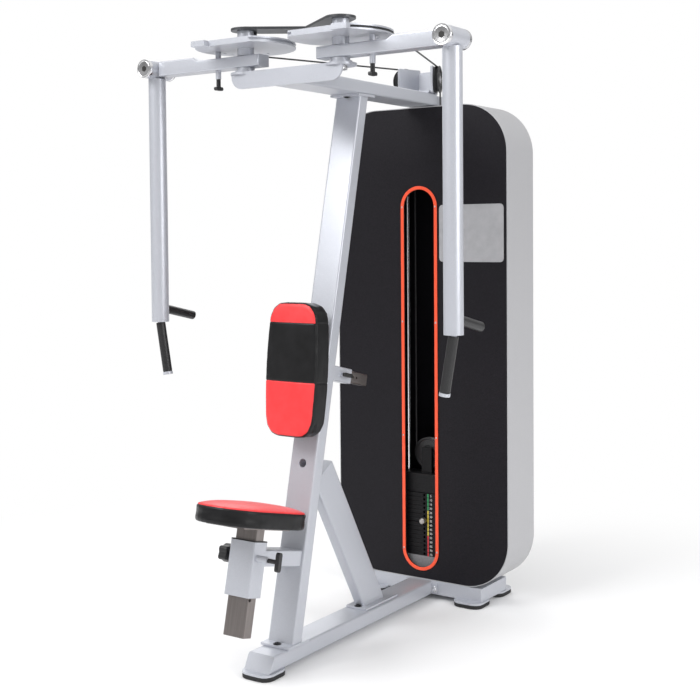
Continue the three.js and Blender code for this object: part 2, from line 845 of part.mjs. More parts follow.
const stack = new THREE.Group();
stack.position.y = stackCentre;
machine.add(stack);
place(stack, 'stack_plinth', stackPlinth(), rubber);
place(stack, 'lower_plates', plateBlock(stackBottom, stackPlates - selectedCount), castPaint).position.z = seatGap;
place(stack, 'selected_plates', plateBlock(selectedBottom, selectedCount), castPaint).position.z = 2 * seatGap;
place(stack, 'head_plate', headPlate(), castPaint).position.z = headRise;
for (const [name, side] of [['left_guide_rod', -1], ['right_guide_rod', 1]]) {
  const foot = bandBottom + skinWall + seatGap;
  place(stack, name, rod(rodRadius, foot, bridgeHeight - seatGap, smallSides), chrome).position.x = side * rodSpread;
}
const floatingPulley = pulley(floatingRim, dropSpread, floatingWidth, floatingAxleRadius + runningGap, pulleySides);
place(stack, 'floating_pulley', floatingPulley.rotateX(Math.PI / 2), blackPlastic).position.z = floatingCentre;

// Selector pin: a rod through the seventh plate and the stem, with a round knob in front
function selectorPin() {
  const face = stackDepth / 2 + selectorNeck;
  return turned([
    [0, -stemRadius],
    [selectorRadius, -stemRadius],
    [selectorRadius, face],
    [selectorKnobRadius, face],
    [selectorKnobRadius, face + selectorKnobLength - selectorNeck],
    [selectorKnobRadius - selectorNeck, face + selectorKnobLength],
    [0, face + selectorKnobLength],
  ], smallSides).rotateX(Math.PI / 2);
}
place(stack, 'selector_pin', selectorPin(), bareSteel).position.z = selectorHeight + 2 * seatGap;

// Cables. Each runs level from its cam over a top pulley and down, round the floating pulley and up again.
function tubeAlong(curve, steps) {
  const outline = new THREE.Shape(Array.from({ length: cableSides }, (_, i) => {
    const angle = (i * 2 * Math.PI) / cableSides;
    return new THREE.Vector2(cableRadius * Math.cos(angle), cableRadius * Math.sin(angle));
  }));
  return new THREE.ExtrudeGeometry(outline, { steps, bevelEnabled: false, extrudePath: curve });
}

class ArcCurve extends THREE.Curve {
  constructor(centre, along, across, radius, start, end) {
    super();
    Object.assign(this, { centre, along, across, radius, start, end });
  }

  getPoint(t, target = new THREE.Vector3()) {
    const angle = this.start + (this.end - this.start) * t;
    target.copy(this.centre);
    target.addScaledVector(this.along, this.radius * Math.cos(angle));
    return target.addScaledVector(this.across, this.radius * Math.sin(angle));
  }
}

// Each top pulley stands in the upright plane of its cable, which leaves the cam on the outer side.
// The plane's turn settles after a few passes, because the pulley's place depends on it.
function cableLine(side) {
  const drop = new THREE.Vector2(dropSpread, stackCentre);
  const camCentre = new THREE.Vector2(axleSpread, axleDepth);
  let top = drop.clone();
  let leave = camCentre.clone();
  const heading = new THREE.Vector2();
  for (let pass = 0; pass < cableLinePasses; pass += 1) {
    const reach = top.clone().sub(camCentre);
    const angle = reach.angle() - Math.acos(camCableRadius / reach.length());
    leave = camCentre.clone().add(new THREE.Vector2(Math.cos(angle), Math.sin(angle)).multiplyScalar(camCableRadius));
    heading.copy(top).sub(leave).normalize();
    top = drop.clone().addScaledVector(heading, -pulleyCableRadius);
  }
  const mirror = (point) => new THREE.Vector3(side * point.x, point.y, 0);
  return { leave: mirror(leave), top: mirror(top), heading: mirror(heading) };
}

// The cable's level run and its quarter turn over the pulley are one path
class CableRun extends THREE.Curve {
  constructor(line) {
    super();
    const height = new THREE.Vector3(0, 0, cableHeight);
    const start = line.leave.clone().addScaledVector(line.heading, cableRadius);
    this.level = new THREE.LineCurve3(start.add(height), line.top.clone().add(height));
    const centre = line.top.clone().add(new THREE.Vector3(0, 0, pulleyHeight));
    this.bend = new ArcCurve(centre, line.heading, zAxis, pulleyCableRadius, Math.PI / 2, 0);
    this.levelShare = 1 / (1 + cableWrapSteps);
  }

  getPoint(t, target = new THREE.Vector3()) {
    if (t <= this.levelShare) return this.level.getPoint(t / this.levelShare, target);
    return this.bend.getPoint((t - this.levelShare) / (1 - this.levelShare), target);
  }

  getPointAt(u, target) {
    return this.getPoint(u, target);
  }

  getTangentAt(u, target = new THREE.Vector3()) {
    if (u <= this.levelShare) return this.level.getTangent(0, target);
    return this.bend.getTangent((u - this.levelShare) / (1 - this.levelShare), target);
  }
}

for (const [name, side] of [['left', -1], ['right', 1]]) {
  const line = cableLine(side);
  place(machine, `${name}_cable`, tubeAlong(new CableRun(line), 1 + cableWrapSteps), rubber);
  const drop = rod(cableRadius, floatingCentre + seatGap, pulleyHeight - seatGap, cableSides);
  place(stack, `${name}_cable_drop`, drop, rubber).position.x = side * dropSpread;
  const wheel = pulley(pulleyRim, pulleyCableRadius, pulleyWidth, pulleyAxleRadius + runningGap, pulleySides);
  const topPulley = place(machine, `${name}_top_pulley`, wheel.rotateY(Math.PI / 2), blackPlastic);
  topPulley.position.copy(line.top).setZ(pulleyHeight);
  topPulley.rotation.z = Math.atan2(line.heading.y, line.heading.x) - Math.PI / 2;
}
const loopCentre = new THREE.Vector3(0, 0, floatingCentre);
const loopArc = new ArcCurve(loopCentre, xAxis, zAxis, dropSpread, 0, -Math.PI);
place(stack, 'cable_loop', tubeAlong(loopArc, loopSteps), rubber);

// Pulley bracket: a plate folded round a web at its rear, so that each cheek is square to a pulley's axle.
// It stands on a foot plate on the top beam.
function pulleyBracket() {
  const bottom = topBeamTop + seatGap;
  const height = pulleyHeight + cheekRise - bottom;
  const length = cheekFront + cheekRear;
  const inner = pulleyWidth / 2 + cheekGap + cheekThickness / 2;
  const reach = pulleyWidth + cheekGap + cheekThickness;
  const pieces = [-1, 1].flatMap((side) => {
    const { top, heading } = cableLine(side);
    const turn = Math.atan2(heading.y, heading.x) - Math.PI / 2;
    const cheek = alongX(extruded(roundedRectangle(length, height, cheekCorner), cheekThickness));
    cheek.translate(-side * inner, length / 2 - cheekFront, bottom + height / 2);
    const bolt = rod(pulleyAxleRadius, -reach / 2, reach / 2, smallSides).rotateY(Math.PI / 2);
    bolt.translate(-side * (reach / 2 - pulleyWidth / 2), 0, pulleyHeight);
    return [cheek, bolt].map((piece) => piece.rotateZ(turn).translate(top.x, top.y, 0));
  });
  const { top, heading } = cableLine(1);
  const fold = new THREE.Vector2(top.x, top.y).addScaledVector(heading, cheekRear - cheekThickness);
  const web = block(
    heading.y * inner - fold.x, fold.x - heading.y * inner,
    fold.y + heading.x * inner, fold.y + heading.x * inner + cheekThickness,
    bottom, bottom + height - 2 * cheekCorner,
  );
  const foot = block(
    -topBeamWidth / 2, topBeamWidth / 2,
    top.y - bracketBaseLength, top.y, bottom, bottom + plateThickness,
  );
  return join(foot, web, ...pieces);
}
place(machine, 'pulley_bracket', pulleyBracket(), framePaint);

// One cam with its hub, its cable clamp and the stretch of cable that lies in the groove at rest.
// The cam is drawn about its own axle; side is +1 on the right and -1 on the left.
function cam(side) {
  const groove = camGrooveWidth / 2;
  const floor = camCableRadius - cableRadius - runningGap;
  const disc = turned([
    [boreRadius, hubUnder],
    [hubRadius, hubUnder],
    [hubRadius, camUnder],
    [camRadius, camUnder],
    [camRadius, cableHeight - groove],
    [floor, cableHeight - groove],
    [floor, cableHeight + groove],
    [camRadius, cableHeight + groove],
    [camRadius, camTop],
    [hubRadius, camTop],
    [hubRadius, collarTop],
    [boreRadius, collarTop],
  ], camSides);
  const ahead = block(
    -camRadius - overrun, camRadius + overrun, -camRadius - overrun, -camChord,
    camUnder - overrun, camTop + overrun,
  );
  const holes = Array.from({ length: indexHoles }, (_, i) => (
    rod(indexHoleRadius, camUnder - overrun, camTop + overrun, clampSides)
      .translate(indexRadius * Math.cos(i * indexPitch), indexRadius * Math.sin(i * indexPitch), 0)
  ));
  const chordHalf = Math.sqrt(camRadius ** 2 - camChord ** 2);
  const clamp = block(
    chordHalf - clampLength, chordHalf, -camChord - clampDepth, weld - camChord, camUnder, camTop,
  );
  const { leave } = cableLine(1);
  const woundTo = Math.atan2(leave.y - axleDepth, leave.x - axleSpread);
  const woundFrom = -Math.asin(camChord / camCableRadius);
  const middle = new THREE.Vector3(0, 0, cableHeight);
  const wound = new ArcCurve(middle, xAxis, yAxis, camCableRadius, woundFrom, woundTo);
  const body = join(cut(disc, ahead, ...holes), clamp, tubeAlong(wound, camWrapSteps));
  return side > 0 ? body : mirrored(body);
}

// A left-hand copy: the points are mirrored across X and each triangle is turned round
function mirrored(geometry) {
  const copy = geometry.clone();
  const points = copy.attributes.position;
  for (let i = 0; i < points.count; i += 1) points.setX(i, -points.getX(i));
  const index = copy.index.array.slice();
  for (let i = 0; i < index.length; i += 3) [index[i], index[i + 1]] = [index[i + 1], index[i]];
  copy.setIndex(new THREE.BufferAttribute(index, 1));
  copy.computeVertexNormals();
  return copy;
}

// Arm: a stepped tube bored for the axle, with the pin's guide tube and a tongue for the handle
function arm() {
  const outer = handleReach - teeRadius - seatGap;
  const profile = new THREE.Shape();
  profile.moveTo(-armTail, 0);
  profile.lineTo(outer, 0);
  profile.lineTo(outer, armOuterHeight);
  profile.lineTo(armStepEnd, armOuterHeight);
  profile.lineTo(armStepStart, armInnerHeight);
  profile.lineTo(-armTail, armInnerHeight);
  const upend = new THREE.Matrix4().makeBasis(xAxis, zAxis, yAxis.clone().negate());
  const body = bevelled(profile, armWidth, armCorner).applyMatrix4(upend).translate(0, 0, armUnder);
  const guide = rod(pinTubeRadius, armUnder - pinTubeDrop, camUnder - runningGap, smallSides);
  const tongueRoot = outer - tongueHeight;
  const tongue = block(
    tongueRoot, handleReach, -tongueThickness / 2, tongueThickness / 2,
    teeHeight - tongueHeight / 2, teeHeight + tongueHeight / 2,
  );
  const eye = rod(tongueEyeRadius, -tongueThickness / 2, tongueThickness / 2).rotateX(Math.PI / 2);
  const eyeBore = rod(teeAxleRadius + seatGap, -armWidth, armWidth).rotateX(Math.PI / 2);
  const teeSpace = rod(teeRadius + runningGap, -armWidth, armWidth).rotateX(Math.PI / 2);
  const trimmed = cut(join(body, guide.translate(indexRadius, 0, 0)), teeSpace.translate(handleReach, 0, teeHeight));
  return cut(
    join(trimmed, tongue, eye.translate(handleReach, 0, teeHeight)),
    eyeBore.translate(handleReach, 0, teeHeight),
    rod(boreRadius, armUnder - overrun, armInnerTop + overrun),
    rod(pinRadius + seatGap, armUnder - pinTubeDrop - overrun, camTop, smallSides).translate(indexRadius, 0, 0),
  );
}

// Pull pin: a rod up into the cam, a black stem below the guide tube and a bar to pull it by
function armPin() {
  const stemTop = armUnder - pinTubeDrop - seatGap;
  const stemBottom = stemTop - pinStemLength;
  const body = turned([
    [0, stemBottom - weld],
    [pinStemRadius, stemBottom - weld],
    [pinStemRadius, stemTop],
    [pinRadius, stemTop],
    [pinRadius, camUnder + pinEngagement],
    [0, camUnder + pinEngagement],
  ], smallSides);
  const outline = roundedRectangle(pinGripLength, pinGripThickness, pinGripThickness / 2 - seatGap);
  const bar = alongX(extruded(outline, pinGripWidth));
  return join(body, bar.translate(0, 0, stemBottom - pinGripThickness / 2));
}

// Swivel axle of the handle: a rod through the tee with a capped head at each end, each with a hex socket
function swivelAxle() {
  const inner = teeLength / 2 + seatGap;
  const outer = inner + teeCapLength;
  const body = turned([
    [0, -outer],
    [teeRadius - teeCapBevel, -outer],
    [teeRadius, teeCapBevel - outer],
    [teeRadius, -inner],
    [teeAxleRadius, -inner],
    [teeAxleRadius, inner],
    [teeRadius, inner],
    [teeRadius, outer - teeCapBevel],
    [teeRadius - teeCapBevel, outer],
    [0, outer],
  ]);
  const sockets = [-1, 1].map((side) => (
    rod(teeSocketRadius, -teeSocketDepth, teeSocketDepth, boltSides).translate(0, 0, side * outer)
  ));
  return cut(body, ...sockets).rotateX(Math.PI / 2);
}

// Where the two grips leave the handle, in the arm's frame, with the direction each one points
const downGripRoot = new THREE.Vector3(handleReach, 0, handleBottom);
const downGripWay = new THREE.Vector3(-Math.sin(downGripLean), 0, -Math.cos(downGripLean));
const rearGripRoot = new THREE.Vector3(handleReach, handleRadius, rearGripHeight);
const rearGripWay = new THREE.Vector3(0, Math.cos(rearGripDrop), -Math.sin(rearGripDrop));

function pointed(geometry, root, way) {
  const turn = new THREE.Quaternion().setFromUnitVectors(zAxis, way);
  return geometry.applyQuaternion(turn).translate(root.x, root.y, root.z);
}

// Handle: a bored tee, windowed for the tongue, with the hanging tube and the steel cores of the grips.
// The top of the tube slopes off below the arm's end, which it would touch as the handle swings.
function handleTube() {
  const tee = rod(teeRadius, -teeLength / 2, teeLength / 2).rotateX(Math.PI / 2);
  const armHalf = armOuterHeight / 2 + runningGap;
  const armSpace = block(-2 * teeRadius, 0, -armWidth, armWidth, -armHalf, 0).rotateY(-swivelRange);
  const tube = cut(
    rod(handleRadius, handleBottom, teeHeight - teeRadius + tubeWall).translate(handleReach, 0, 0),
    armSpace.translate(handleReach, 0, teeHeight),
  );
  const bore = rod(teeBore, -teeLength, teeLength).rotateX(Math.PI / 2);
  const swing = Math.asin(tongueHeight / 2 / teeBore) + swivelRange;
  const windowHalf = teeRadius * Math.sin(swing) + tubeWall / 2;
  const window = block(
    -2 * teeRadius, -seatGap, -tongueThickness / 2 - runningGap, tongueThickness / 2 + runningGap,
    -windowHalf, windowHalf,
  );
  const gripFoot = gripRingRadius * Math.tan(downGripLean);
  const core = rod(gripCoreRadius, -handleRadius / 2, gripFoot + downGripLength + 2 * weld, smallSides);
  const ringStart = gripFoot + downGripLength + seatGap;
  const ring = rod(gripRingRadius, ringStart, ringStart + gripRingLength);
  const rearCore = rod(gripCoreRadius, -handleRadius / 2, rearGripLength - rearGripCap - seatGap, smallSides);
  const hollowTee = cut(
    join(tee.translate(handleReach, 0, teeHeight), tube),
    bore.translate(handleReach, 0, teeHeight),
    window.translate(handleReach, 0, teeHeight),
  );
  return join(
    hollowTee,
    pointed(core, downGripRoot, downGripWay),
    pointed(ring, downGripRoot, downGripWay),
    pointed(rearCore, rearGripRoot, rearGripWay),
  );
}

// The grips are rubber sleeves on the cores; the rear one is closed at its end
function downGrip() {
  const start = gripRingRadius * Math.tan(downGripLean);
  const bore = gripCoreRadius + seatGap;
  const sleeve = turned([
    [bore, start],
    [gripRadius, start],
    [gripRadius, start + downGripLength],
    [bore, start + downGripLength],
  ]);
  return pointed(sleeve, downGripRoot, downGripWay);
}

function rearGrip() {
  const bore = gripCoreRadius + seatGap;
  const start = rearGripRadius * Math.tan(rearGripDrop) + seatGap;
  const blank = pointed(turned([
    [0, -handleRadius],
    [rearGripRadius, -handleRadius],
    [rearGripRadius, rearGripLength - seatGap],
    [rearGripRadius - rearGripCap / 2, rearGripLength + rearGripCap / 2],
    [0, rearGripLength + rearGripCap / 2],
  ]), rearGripRoot, rearGripWay);
  const hollow = pointed(rod(bore, -2 * handleRadius, rearGripLength - rearGripCap, smallSides), rearGripRoot, rearGripWay);
  const tube = rod(handleRadius + seatGap, handleBottom, rearGripHeight + start + handleRadius).translate(handleReach, 0, 0);
  const front = block(
    0, 2 * handleReach, -2 * handleRadius, handleRadius / 2, handleBottom - handleRadius, rearGripHeight + 2 * handleRadius,
  );
  return cut(blank, hollow, tube, front);
}

for (const [name, side] of [['left', -1], ['right', 1]]) {
  const hand = (geometry) => (side > 0 ? geometry : mirrored(toGeometry(toSolid(geometry))));
  const pivot = new THREE.Group();
  pivot.position.set(side * axleSpread, axleDepth, 0);
  machine.add(pivot);
  place(pivot, `${name}_axle`, axle(), bareSteel);
  place(pivot, `${name}_cam`, cam(side), framePaint);
  place(pivot, `${name}_arm`, hand(arm()), framePaint);
  place(pivot, `${name}_arm_pin`, armPin(), blackPlastic).position.x = side * indexRadius;
  place(pivot, `${name}_swivel_axle`, swivelAxle(), chrome).position.set(side * handleReach, 0, teeHeight);
  place(pivot, `${name}_handle`, hand(handleTube()), framePaint);
  place(pivot, `${name}_down_grip`, hand(downGrip()), rubber);
  place(pivot, `${name}_rear_grip`, hand(rearGrip()), rubber);
}

// Seat: everything here stands in the leaned group, about the axis of the seat post
const seatGroup = new THREE.Group();
seatGroup.position.y = -postAxis;
leaned.add(seatGroup);

function crosswiseRod(radius, start, end, y, z, sides = smallSides) {
  return rod(radius, start, end, sides).rotateY(Math.PI / 2).translate(0, y, z);
}

// Sleeve: a short tube round the post, welded to its bracket, with the pin's boss and the knob's bore
function seatSleeve() {
  const outline = roundedRectangle(sleeveWidth, sleeveDepth, sleeveCorner);
  const middle = (sleeveBottom + sleeveTop) / 2;
  const tube = extruded(outline, sleeveLength).translate(0, 0, middle);
  const space = extruded(
    roundedRectangle(linerWidth + 2 * seatGap, linerDepth + 2 * seatGap, postCorner), sleeveLength + overrun,
  ).translate(0, 0, middle);
  const bracketLength = postAxis - seatGap - sleeveDepth / 2 + weld;
  const bracket = alongY(extruded(
    roundedRectangle(seatBracketWidth, seatBracketHeight, postCorner), bracketLength,
  ));
  bracket.translate(0, sleeveDepth / 2 - weld + bracketLength / 2, seatBracketTop - seatBracketHeight / 2);
  const boss = crosswiseRod(
    seatBossRadius, sleeveWidth / 2 - weld, sleeveWidth / 2 + seatBossLength, -seatPinForward, seatPinHeight, roundSides,
  );
  const pinBore = crosswiseRod(pinBoreRadius, 0, sleeveWidth, -seatPinForward, seatPinHeight);
  const knobBore = crosswiseRod(knobScrewRadius + runningGap, -sleeveWidth, 0, 0, seatPinHeight);
  return cut(join(tube, bracket, boss), space, pinBore, knobBore);
}

// Liner: a thin plastic sleeve with a flange on top, bored where the pin and the knob's screw pass
function sleeveLiner() {
  const flangeOutline = roundedRectangle(sleeveWidth, sleeveDepth, sleeveCorner);
  const flange = extruded(flangeOutline, linerFlange).translate(0, 0, sleeveTop + seatGap + linerFlange / 2);
  const length = sleeveLength + linerFlange;
  const wall = extruded(roundedRectangle(linerWidth, linerDepth, postCorner), length);
  wall.translate(0, 0, sleeveBottom + seatGap + length / 2);
  const space = extruded(
    roundedRectangle(postWidth + 2 * seatGap, postDepth + 2 * seatGap, postCorner), 2 * sleeveLength,
  ).translate(0, 0, sleeveTop);
  return cut(
    join(wall, flange), space,
    crosswiseRod(pinBoreRadius, 0, sleeveWidth, -seatPinForward, seatPinHeight),
    crosswiseRod(knobScrewRadius + runningGap, -sleeveWidth, 0, 0, seatPinHeight),
  );
}

// Post: a bare tube under the seat plate, with a row of pin holes in its side
function seatPost() {
  const top = seatPadHeight - seatGap;
  const tubeTop = top - seatPlateThickness + weld;
  const length = tubeTop - postBottom;
  const tube = extruded(roundedRectangle(postWidth, postDepth, postCorner), length).translate(0, 0, postBottom + length / 2);
  const plateOutline = roundedRectangle(seatPlateWidth, seatPlateLength, postCorner);
  const plate = extruded(plateOutline, seatPlateThickness).translate(0, -seatPadShift, top - seatPlateThickness / 2);
  const holes = [];
  for (let i = -seatPinHolesAbove; i <= seatPinHolesBelow; i += 1) {
    const height = seatPinHeight + i * seatPinPitch;
    const start = postWidth / 2 - popPinDepth - popPinClearance;
    holes.push(crosswiseRod(popPinRadius + popPinClearance, start, postWidth, -seatPinForward, height));
  }
  return cut(join(tube, plate), ...holes);
}

// Pull pin of the seat: a sprung rod through the boss with a black stem and a bar across its end
function seatPin() {
  const face = sleeveWidth / 2 + seatBossLength + seatGap;
  const stem = crosswiseRod(seatStemRadius, face, face + seatStemLength + weld, -seatPinForward, seatPinHeight);
  const shank = crosswiseRod(popPinRadius, postWidth / 2 - popPinDepth, face + weld, -seatPinForward, seatPinHeight);
  const outline = roundedRectangle(seatGripWidth, seatGripHeight, seatGripWidth / 2 - seatGap);
  const bar = alongX(extruded(outline, seatGripThickness));
  bar.translate(face + seatStemLength + seatGripThickness / 2, -seatPinForward, seatPinHeight);
  return join(shank, stem, bar);
}

// Star knob: a lobed grip on a screw that bears on the post
function starKnob() {
  const outline = new THREE.Shape();
  const steps = knobLobes * boltSides;
  const middle = (knobRadius + knobWaist) / 2;
  const swell = (knobRadius - knobWaist) / 2;
  for (let i = 0; i < steps; i += 1) {
    const angle = (i * 2 * Math.PI) / steps;
    const radius = middle + swell * Math.cos(knobLobes * angle);
    const point = [radius * Math.cos(angle), radius * Math.sin(angle)];
    if (i === 0) outline.moveTo(...point);
    else outline.lineTo(...point);
  }
  outline.closePath();
  const inner = sleeveWidth / 2 + knobStandoff;
  const grip = alongX(bevelled(outline, knobThickness, knobThickness / 8)).translate(-inner - knobThickness / 2, 0, 0);
  const screw = rod(knobScrewRadius, -inner - weld, -postWidth / 2 - seatGap, smallSides).rotateY(Math.PI / 2);
  return join(grip, screw).translate(0, 0, seatPinHeight);
}

// Cushions: rings of points follow one rounded outline, drawn in at the sides and crowned on top
function cushion(outlinePoint, side, crown) {
  const rings = cushionRowShares.map(([tuck, height]) => ({ inset: tuck * cushionTuck, share: 1, z: height * side }));
  const edge = rings[rings.length - 1].inset;
  for (const [spread, rise] of crownRingShares) rings.push({ inset: edge, share: spread, z: side + rise * crown });
  const positions = [];
  for (const { inset, share, z } of rings) {
    for (let i = 0; i < cushionSteps; i += 1) {
      const [x, y] = outlinePoint(i / cushionSteps, inset);
      positions.push(x * share, y * share, z);
    }
  }
  const bottomPole = rings.length * cushionSteps;
  const topPole = bottomPole + 1;
  positions.push(0, 0, 0, 0, 0, side + crown);
  const index = [];
  for (let i = 0; i < cushionSteps; i += 1) {
    const next = (i + 1) % cushionSteps;
    index.push(bottomPole, next, i);
    for (let ring = 0; ring < rings.length - 1; ring += 1) {
      const low = ring * cushionSteps;
      const high = low + cushionSteps;
      index.push(low + i, low + next, high + next, low + i, high + next, high + i);
    }
    const last = (rings.length - 1) * cushionSteps;
    index.push(topPole, last + i, last + next);
  }
  const geometry = new THREE.BufferGeometry();
  geometry.setAttribute('position', new THREE.Float32BufferAttribute(positions, 3));
  geometry.setIndex(index);
  geometry.computeVertexNormals();
  return geometry;
}

// A point at share t of the way round a rounded rectangle. Its width tapers along its length, or
// bows out in the middle.
function padPoint(width, length, radius, taper, bow) {
  const path = roundedRectangle(width, length, radius);
  const points = path.getSpacedPoints(cushionSteps);
  return (t, inset) => {
    const point = points[Math.round(t * cushionSteps) % cushionSteps];
    const along = (2 * point.y) / length;
    const widen = 1 + (taper * along) / 2 - bow * along ** 2;
    const x = point.x * widen * (1 - (2 * inset) / width);
    return [x, point.y * (1 - (2 * inset) / length)];
  };
}

place(seatGroup, 'seat_sleeve', seatSleeve(), framePaint);
place(seatGroup, 'sleeve_liner', sleeveLiner(), blackPlastic);
place(seatGroup, 'seat_post', seatPost(), bareSteel);
place(seatGroup, 'seat_pin', seatPin(), blackPlastic);
place(seatGroup, 'star_knob', starKnob(), blackPlastic);
const seatMeanWidth = (seatPadFrontWidth + seatPadRearWidth) / 2;
const seatTaper = (seatPadRearWidth - seatPadFrontWidth) / seatMeanWidth;
const seatOutline = padPoint(seatMeanWidth, seatPadLength, seatPadCorner, seatTaper, 0);
const seatPad = place(seatGroup, 'seat_pad', cushion(seatOutline, seatPadSide, seatPadCrown), redVinyl);
seatPad.position.set(0, -seatPadShift, seatPadHeight);

// Back pad: a cushion on a plate, carried by a square tube that slides through a sleeve in the upright
function padSleeve() {
  const length = padSleeveRear + padSleeveFront;
  const middle = (padSleeveRear - padSleeveFront) / 2;
  const tube = alongY(extruded(roundedRectangle(padSleeveSize, padSleeveSize, padTubeCorner), length));
  const spaceSize = padTubeSize + 2 * seatGap;
  const space = alongY(extruded(roundedRectangle(spaceSize, spaceSize, padTubeCorner), length + overrun));
  const boss = crosswiseRod(
    padBossRadius, padSleeveSize / 2 - weld, padSleeveSize / 2 + padBossLength, padPinPlace, 0, roundSides,
  );
  const bore = crosswiseRod(padPinRadius + seatGap, 0, padSleeveSize, padPinPlace, 0);
  return cut(join(tube.translate(0, middle, 0), boss), space.translate(0, middle, 0), bore);
}

// The cushion's plate is welded on at a tilt, and the tube's front end is cut to it
function padTube() {
  const back = padThickness - padFaceReach;
  const length = padTubeRear + padTubeSize - back;
  const tube = alongY(extruded(roundedRectangle(padTubeSize, padTubeSize, padTubeCorner), length));
  tube.translate(0, padTubeRear - length / 2, 0);
  const plate = alongY(extruded(roundedRectangle(padPlateWidth, padPlateHeight, padTubeCorner), padPlateThickness));
  plate.translate(0, seatGap + padPlateThickness / 2, 0);
  const ahead = block(-padPlateWidth, padPlateWidth, -padPlateHeight, seatGap + weld, -padPlateHeight, padPlateHeight);
  for (const piece of [plate, ahead]) piece.rotateX(padTilt).translate(0, back, 0);
  const holes = [];
  for (let i = -padPinHolesAhead; i <= padPinHolesBehind; i += 1) {
    const place = padPinPlace + i * padPinPitch;
    const start = padTubeSize / 2 - padPinDepth - popPinClearance;
    holes.push(crosswiseRod(padPinRadius + popPinClearance, start, padTubeSize, place, 0));
  }
  return cut(join(cut(tube, ahead), plate), ...holes);
}

function padPin() {
  const face = padSleeveSize / 2 + padBossLength + seatGap;
  const shank = crosswiseRod(padPinRadius, padTubeSize / 2 - padPinDepth, face + weld, padPinPlace, 0);
  const outline = roundedRectangle(padLeverLength, padLeverHeight, padLeverHeight / 2 - seatGap);
  const lever = alongX(extruded(outline, padLeverThickness));
  lever.translate(face + padLeverThickness / 2, padPinPlace + padLeverLength / 2 - padLeverLap, 0);
  return join(shank, lever);
}

const padGroup = new THREE.Group();
padGroup.position.z = padAxis;
leaned.add(padGroup);
place(padGroup, 'pad_sleeve', padSleeve(), framePaint);
place(padGroup, 'pad_tube', padTube(), bareSteel);
place(padGroup, 'pad_pin', padPin(), blackPlastic);
const padMount = new THREE.Group();
padMount.position.y = padThickness - padFaceReach;
padMount.rotation.x = padTilt;
padGroup.add(padMount);
const backOutline = padPoint(padWidth, padHeight, padCorner, 0, padBow);
const backPad = place(padMount, 'back_pad', cushion(backOutline, padThickness - padCrown, padCrown), redVinyl);
backPad.position.z = padBottom + padHeight / 2 - padAxis;
backPad.rotation.x = Math.PI / 2;

// The origin is under the middle of the whole machine, on the floor
machine.updateMatrixWorld(true);
const bounds = new THREE.Box3().setFromObject(machine, true);
machine.position.y = -(bounds.min.y + bounds.max.y) / 2;
machine.updateMatrixWorld(true);

export default machine;
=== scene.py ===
import json
import math

import bmesh
import bpy
import numpy as np
from mathutils import Matrix, Vector


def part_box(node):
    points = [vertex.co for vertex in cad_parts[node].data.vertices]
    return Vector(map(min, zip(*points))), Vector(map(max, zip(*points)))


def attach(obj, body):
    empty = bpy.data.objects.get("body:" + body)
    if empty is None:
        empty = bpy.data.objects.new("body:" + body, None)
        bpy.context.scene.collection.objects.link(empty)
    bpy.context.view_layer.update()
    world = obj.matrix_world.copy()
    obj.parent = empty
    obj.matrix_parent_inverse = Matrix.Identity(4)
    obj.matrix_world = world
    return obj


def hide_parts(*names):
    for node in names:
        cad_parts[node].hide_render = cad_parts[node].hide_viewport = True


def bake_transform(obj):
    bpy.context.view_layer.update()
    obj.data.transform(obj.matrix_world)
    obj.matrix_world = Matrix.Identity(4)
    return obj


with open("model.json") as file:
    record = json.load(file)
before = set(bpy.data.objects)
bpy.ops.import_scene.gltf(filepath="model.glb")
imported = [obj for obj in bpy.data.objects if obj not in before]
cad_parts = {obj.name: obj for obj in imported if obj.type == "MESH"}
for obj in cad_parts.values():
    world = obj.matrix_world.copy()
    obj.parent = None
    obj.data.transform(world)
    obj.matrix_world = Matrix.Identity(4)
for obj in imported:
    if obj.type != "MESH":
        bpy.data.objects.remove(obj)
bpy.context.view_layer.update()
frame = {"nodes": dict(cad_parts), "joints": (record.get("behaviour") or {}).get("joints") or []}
joint = {entry["name"]: entry for entry in frame["joints"]}

# Frame, tower's base and column, pulley bracket, sleeves, cams, arms and handles: welded from steel tube
# and plate, and powder coated in a silver-grey metallic with fine flakes and a faint orange peel. Cut
# edges are broken with a file and take a thin highlight.
SIDES = ("left", "right")
FRAME_PARTS = [
    "base_beam", "upright", "brace", "top_beam", "yoke", "tower_base", "tower_column",
    "pulley_bracket", "seat_sleeve", "pad_sleeve",
]
SILVER = ((0.46, 0.475, 0.52), (0.57, 0.585, 0.635))
COAT_GRAIN = 900
COAT_PEEL = 260
COAT_DEPTH = 0.0003
GRAIN_STOPS = (0.35, 0.68)
GRAIN_DETAIL = 3
PEEL_DETAIL = 2
PEEL_STRENGTH = 0.5
EDGE_BREAK = 0.0011
SHARP_FROM = math.radians(50)
FLAT_WITHIN = math.radians(0.5)
WELD_WITHIN = 2e-5


def new_material(name, roughness, metallic=0, shine=0.5):
    """A material with its shader's roughness, metal and shine set, and its nodes and links."""
    material = bpy.data.materials.new(name)
    material.use_nodes = True
    nodes, links = material.node_tree.nodes, material.node_tree.links
    surface = nodes["Principled BSDF"]
    surface.inputs["Roughness"].default_value = roughness
    surface.inputs["Metallic"].default_value = metallic
    surface.inputs["Specular IOR Level"].default_value = shine
    return material, nodes, links


def noise(nodes, links, place, scale, detail):
    """Noise with the given number of waves in each unit of its place."""
    waves = nodes.new("ShaderNodeTexNoise")
    waves.inputs["Scale"].default_value = scale
    waves.inputs["Detail"].default_value = detail
    links.new(place, waves.inputs["Vector"])
    return waves.outputs["Fac"]


def tinted(nodes, links, value, dark, light, stops):
    """A colour that goes from dark to light while the value goes from one stop to the other."""
    ramp = nodes.new("ShaderNodeValToRGB")
    for element, stop, colour in zip(ramp.color_ramp.elements, stops, (dark, light)):
        element.position = stop
        element.color = (*colour, 1)
    links.new(value, ramp.inputs["Fac"])
    return ramp.outputs["Color"]


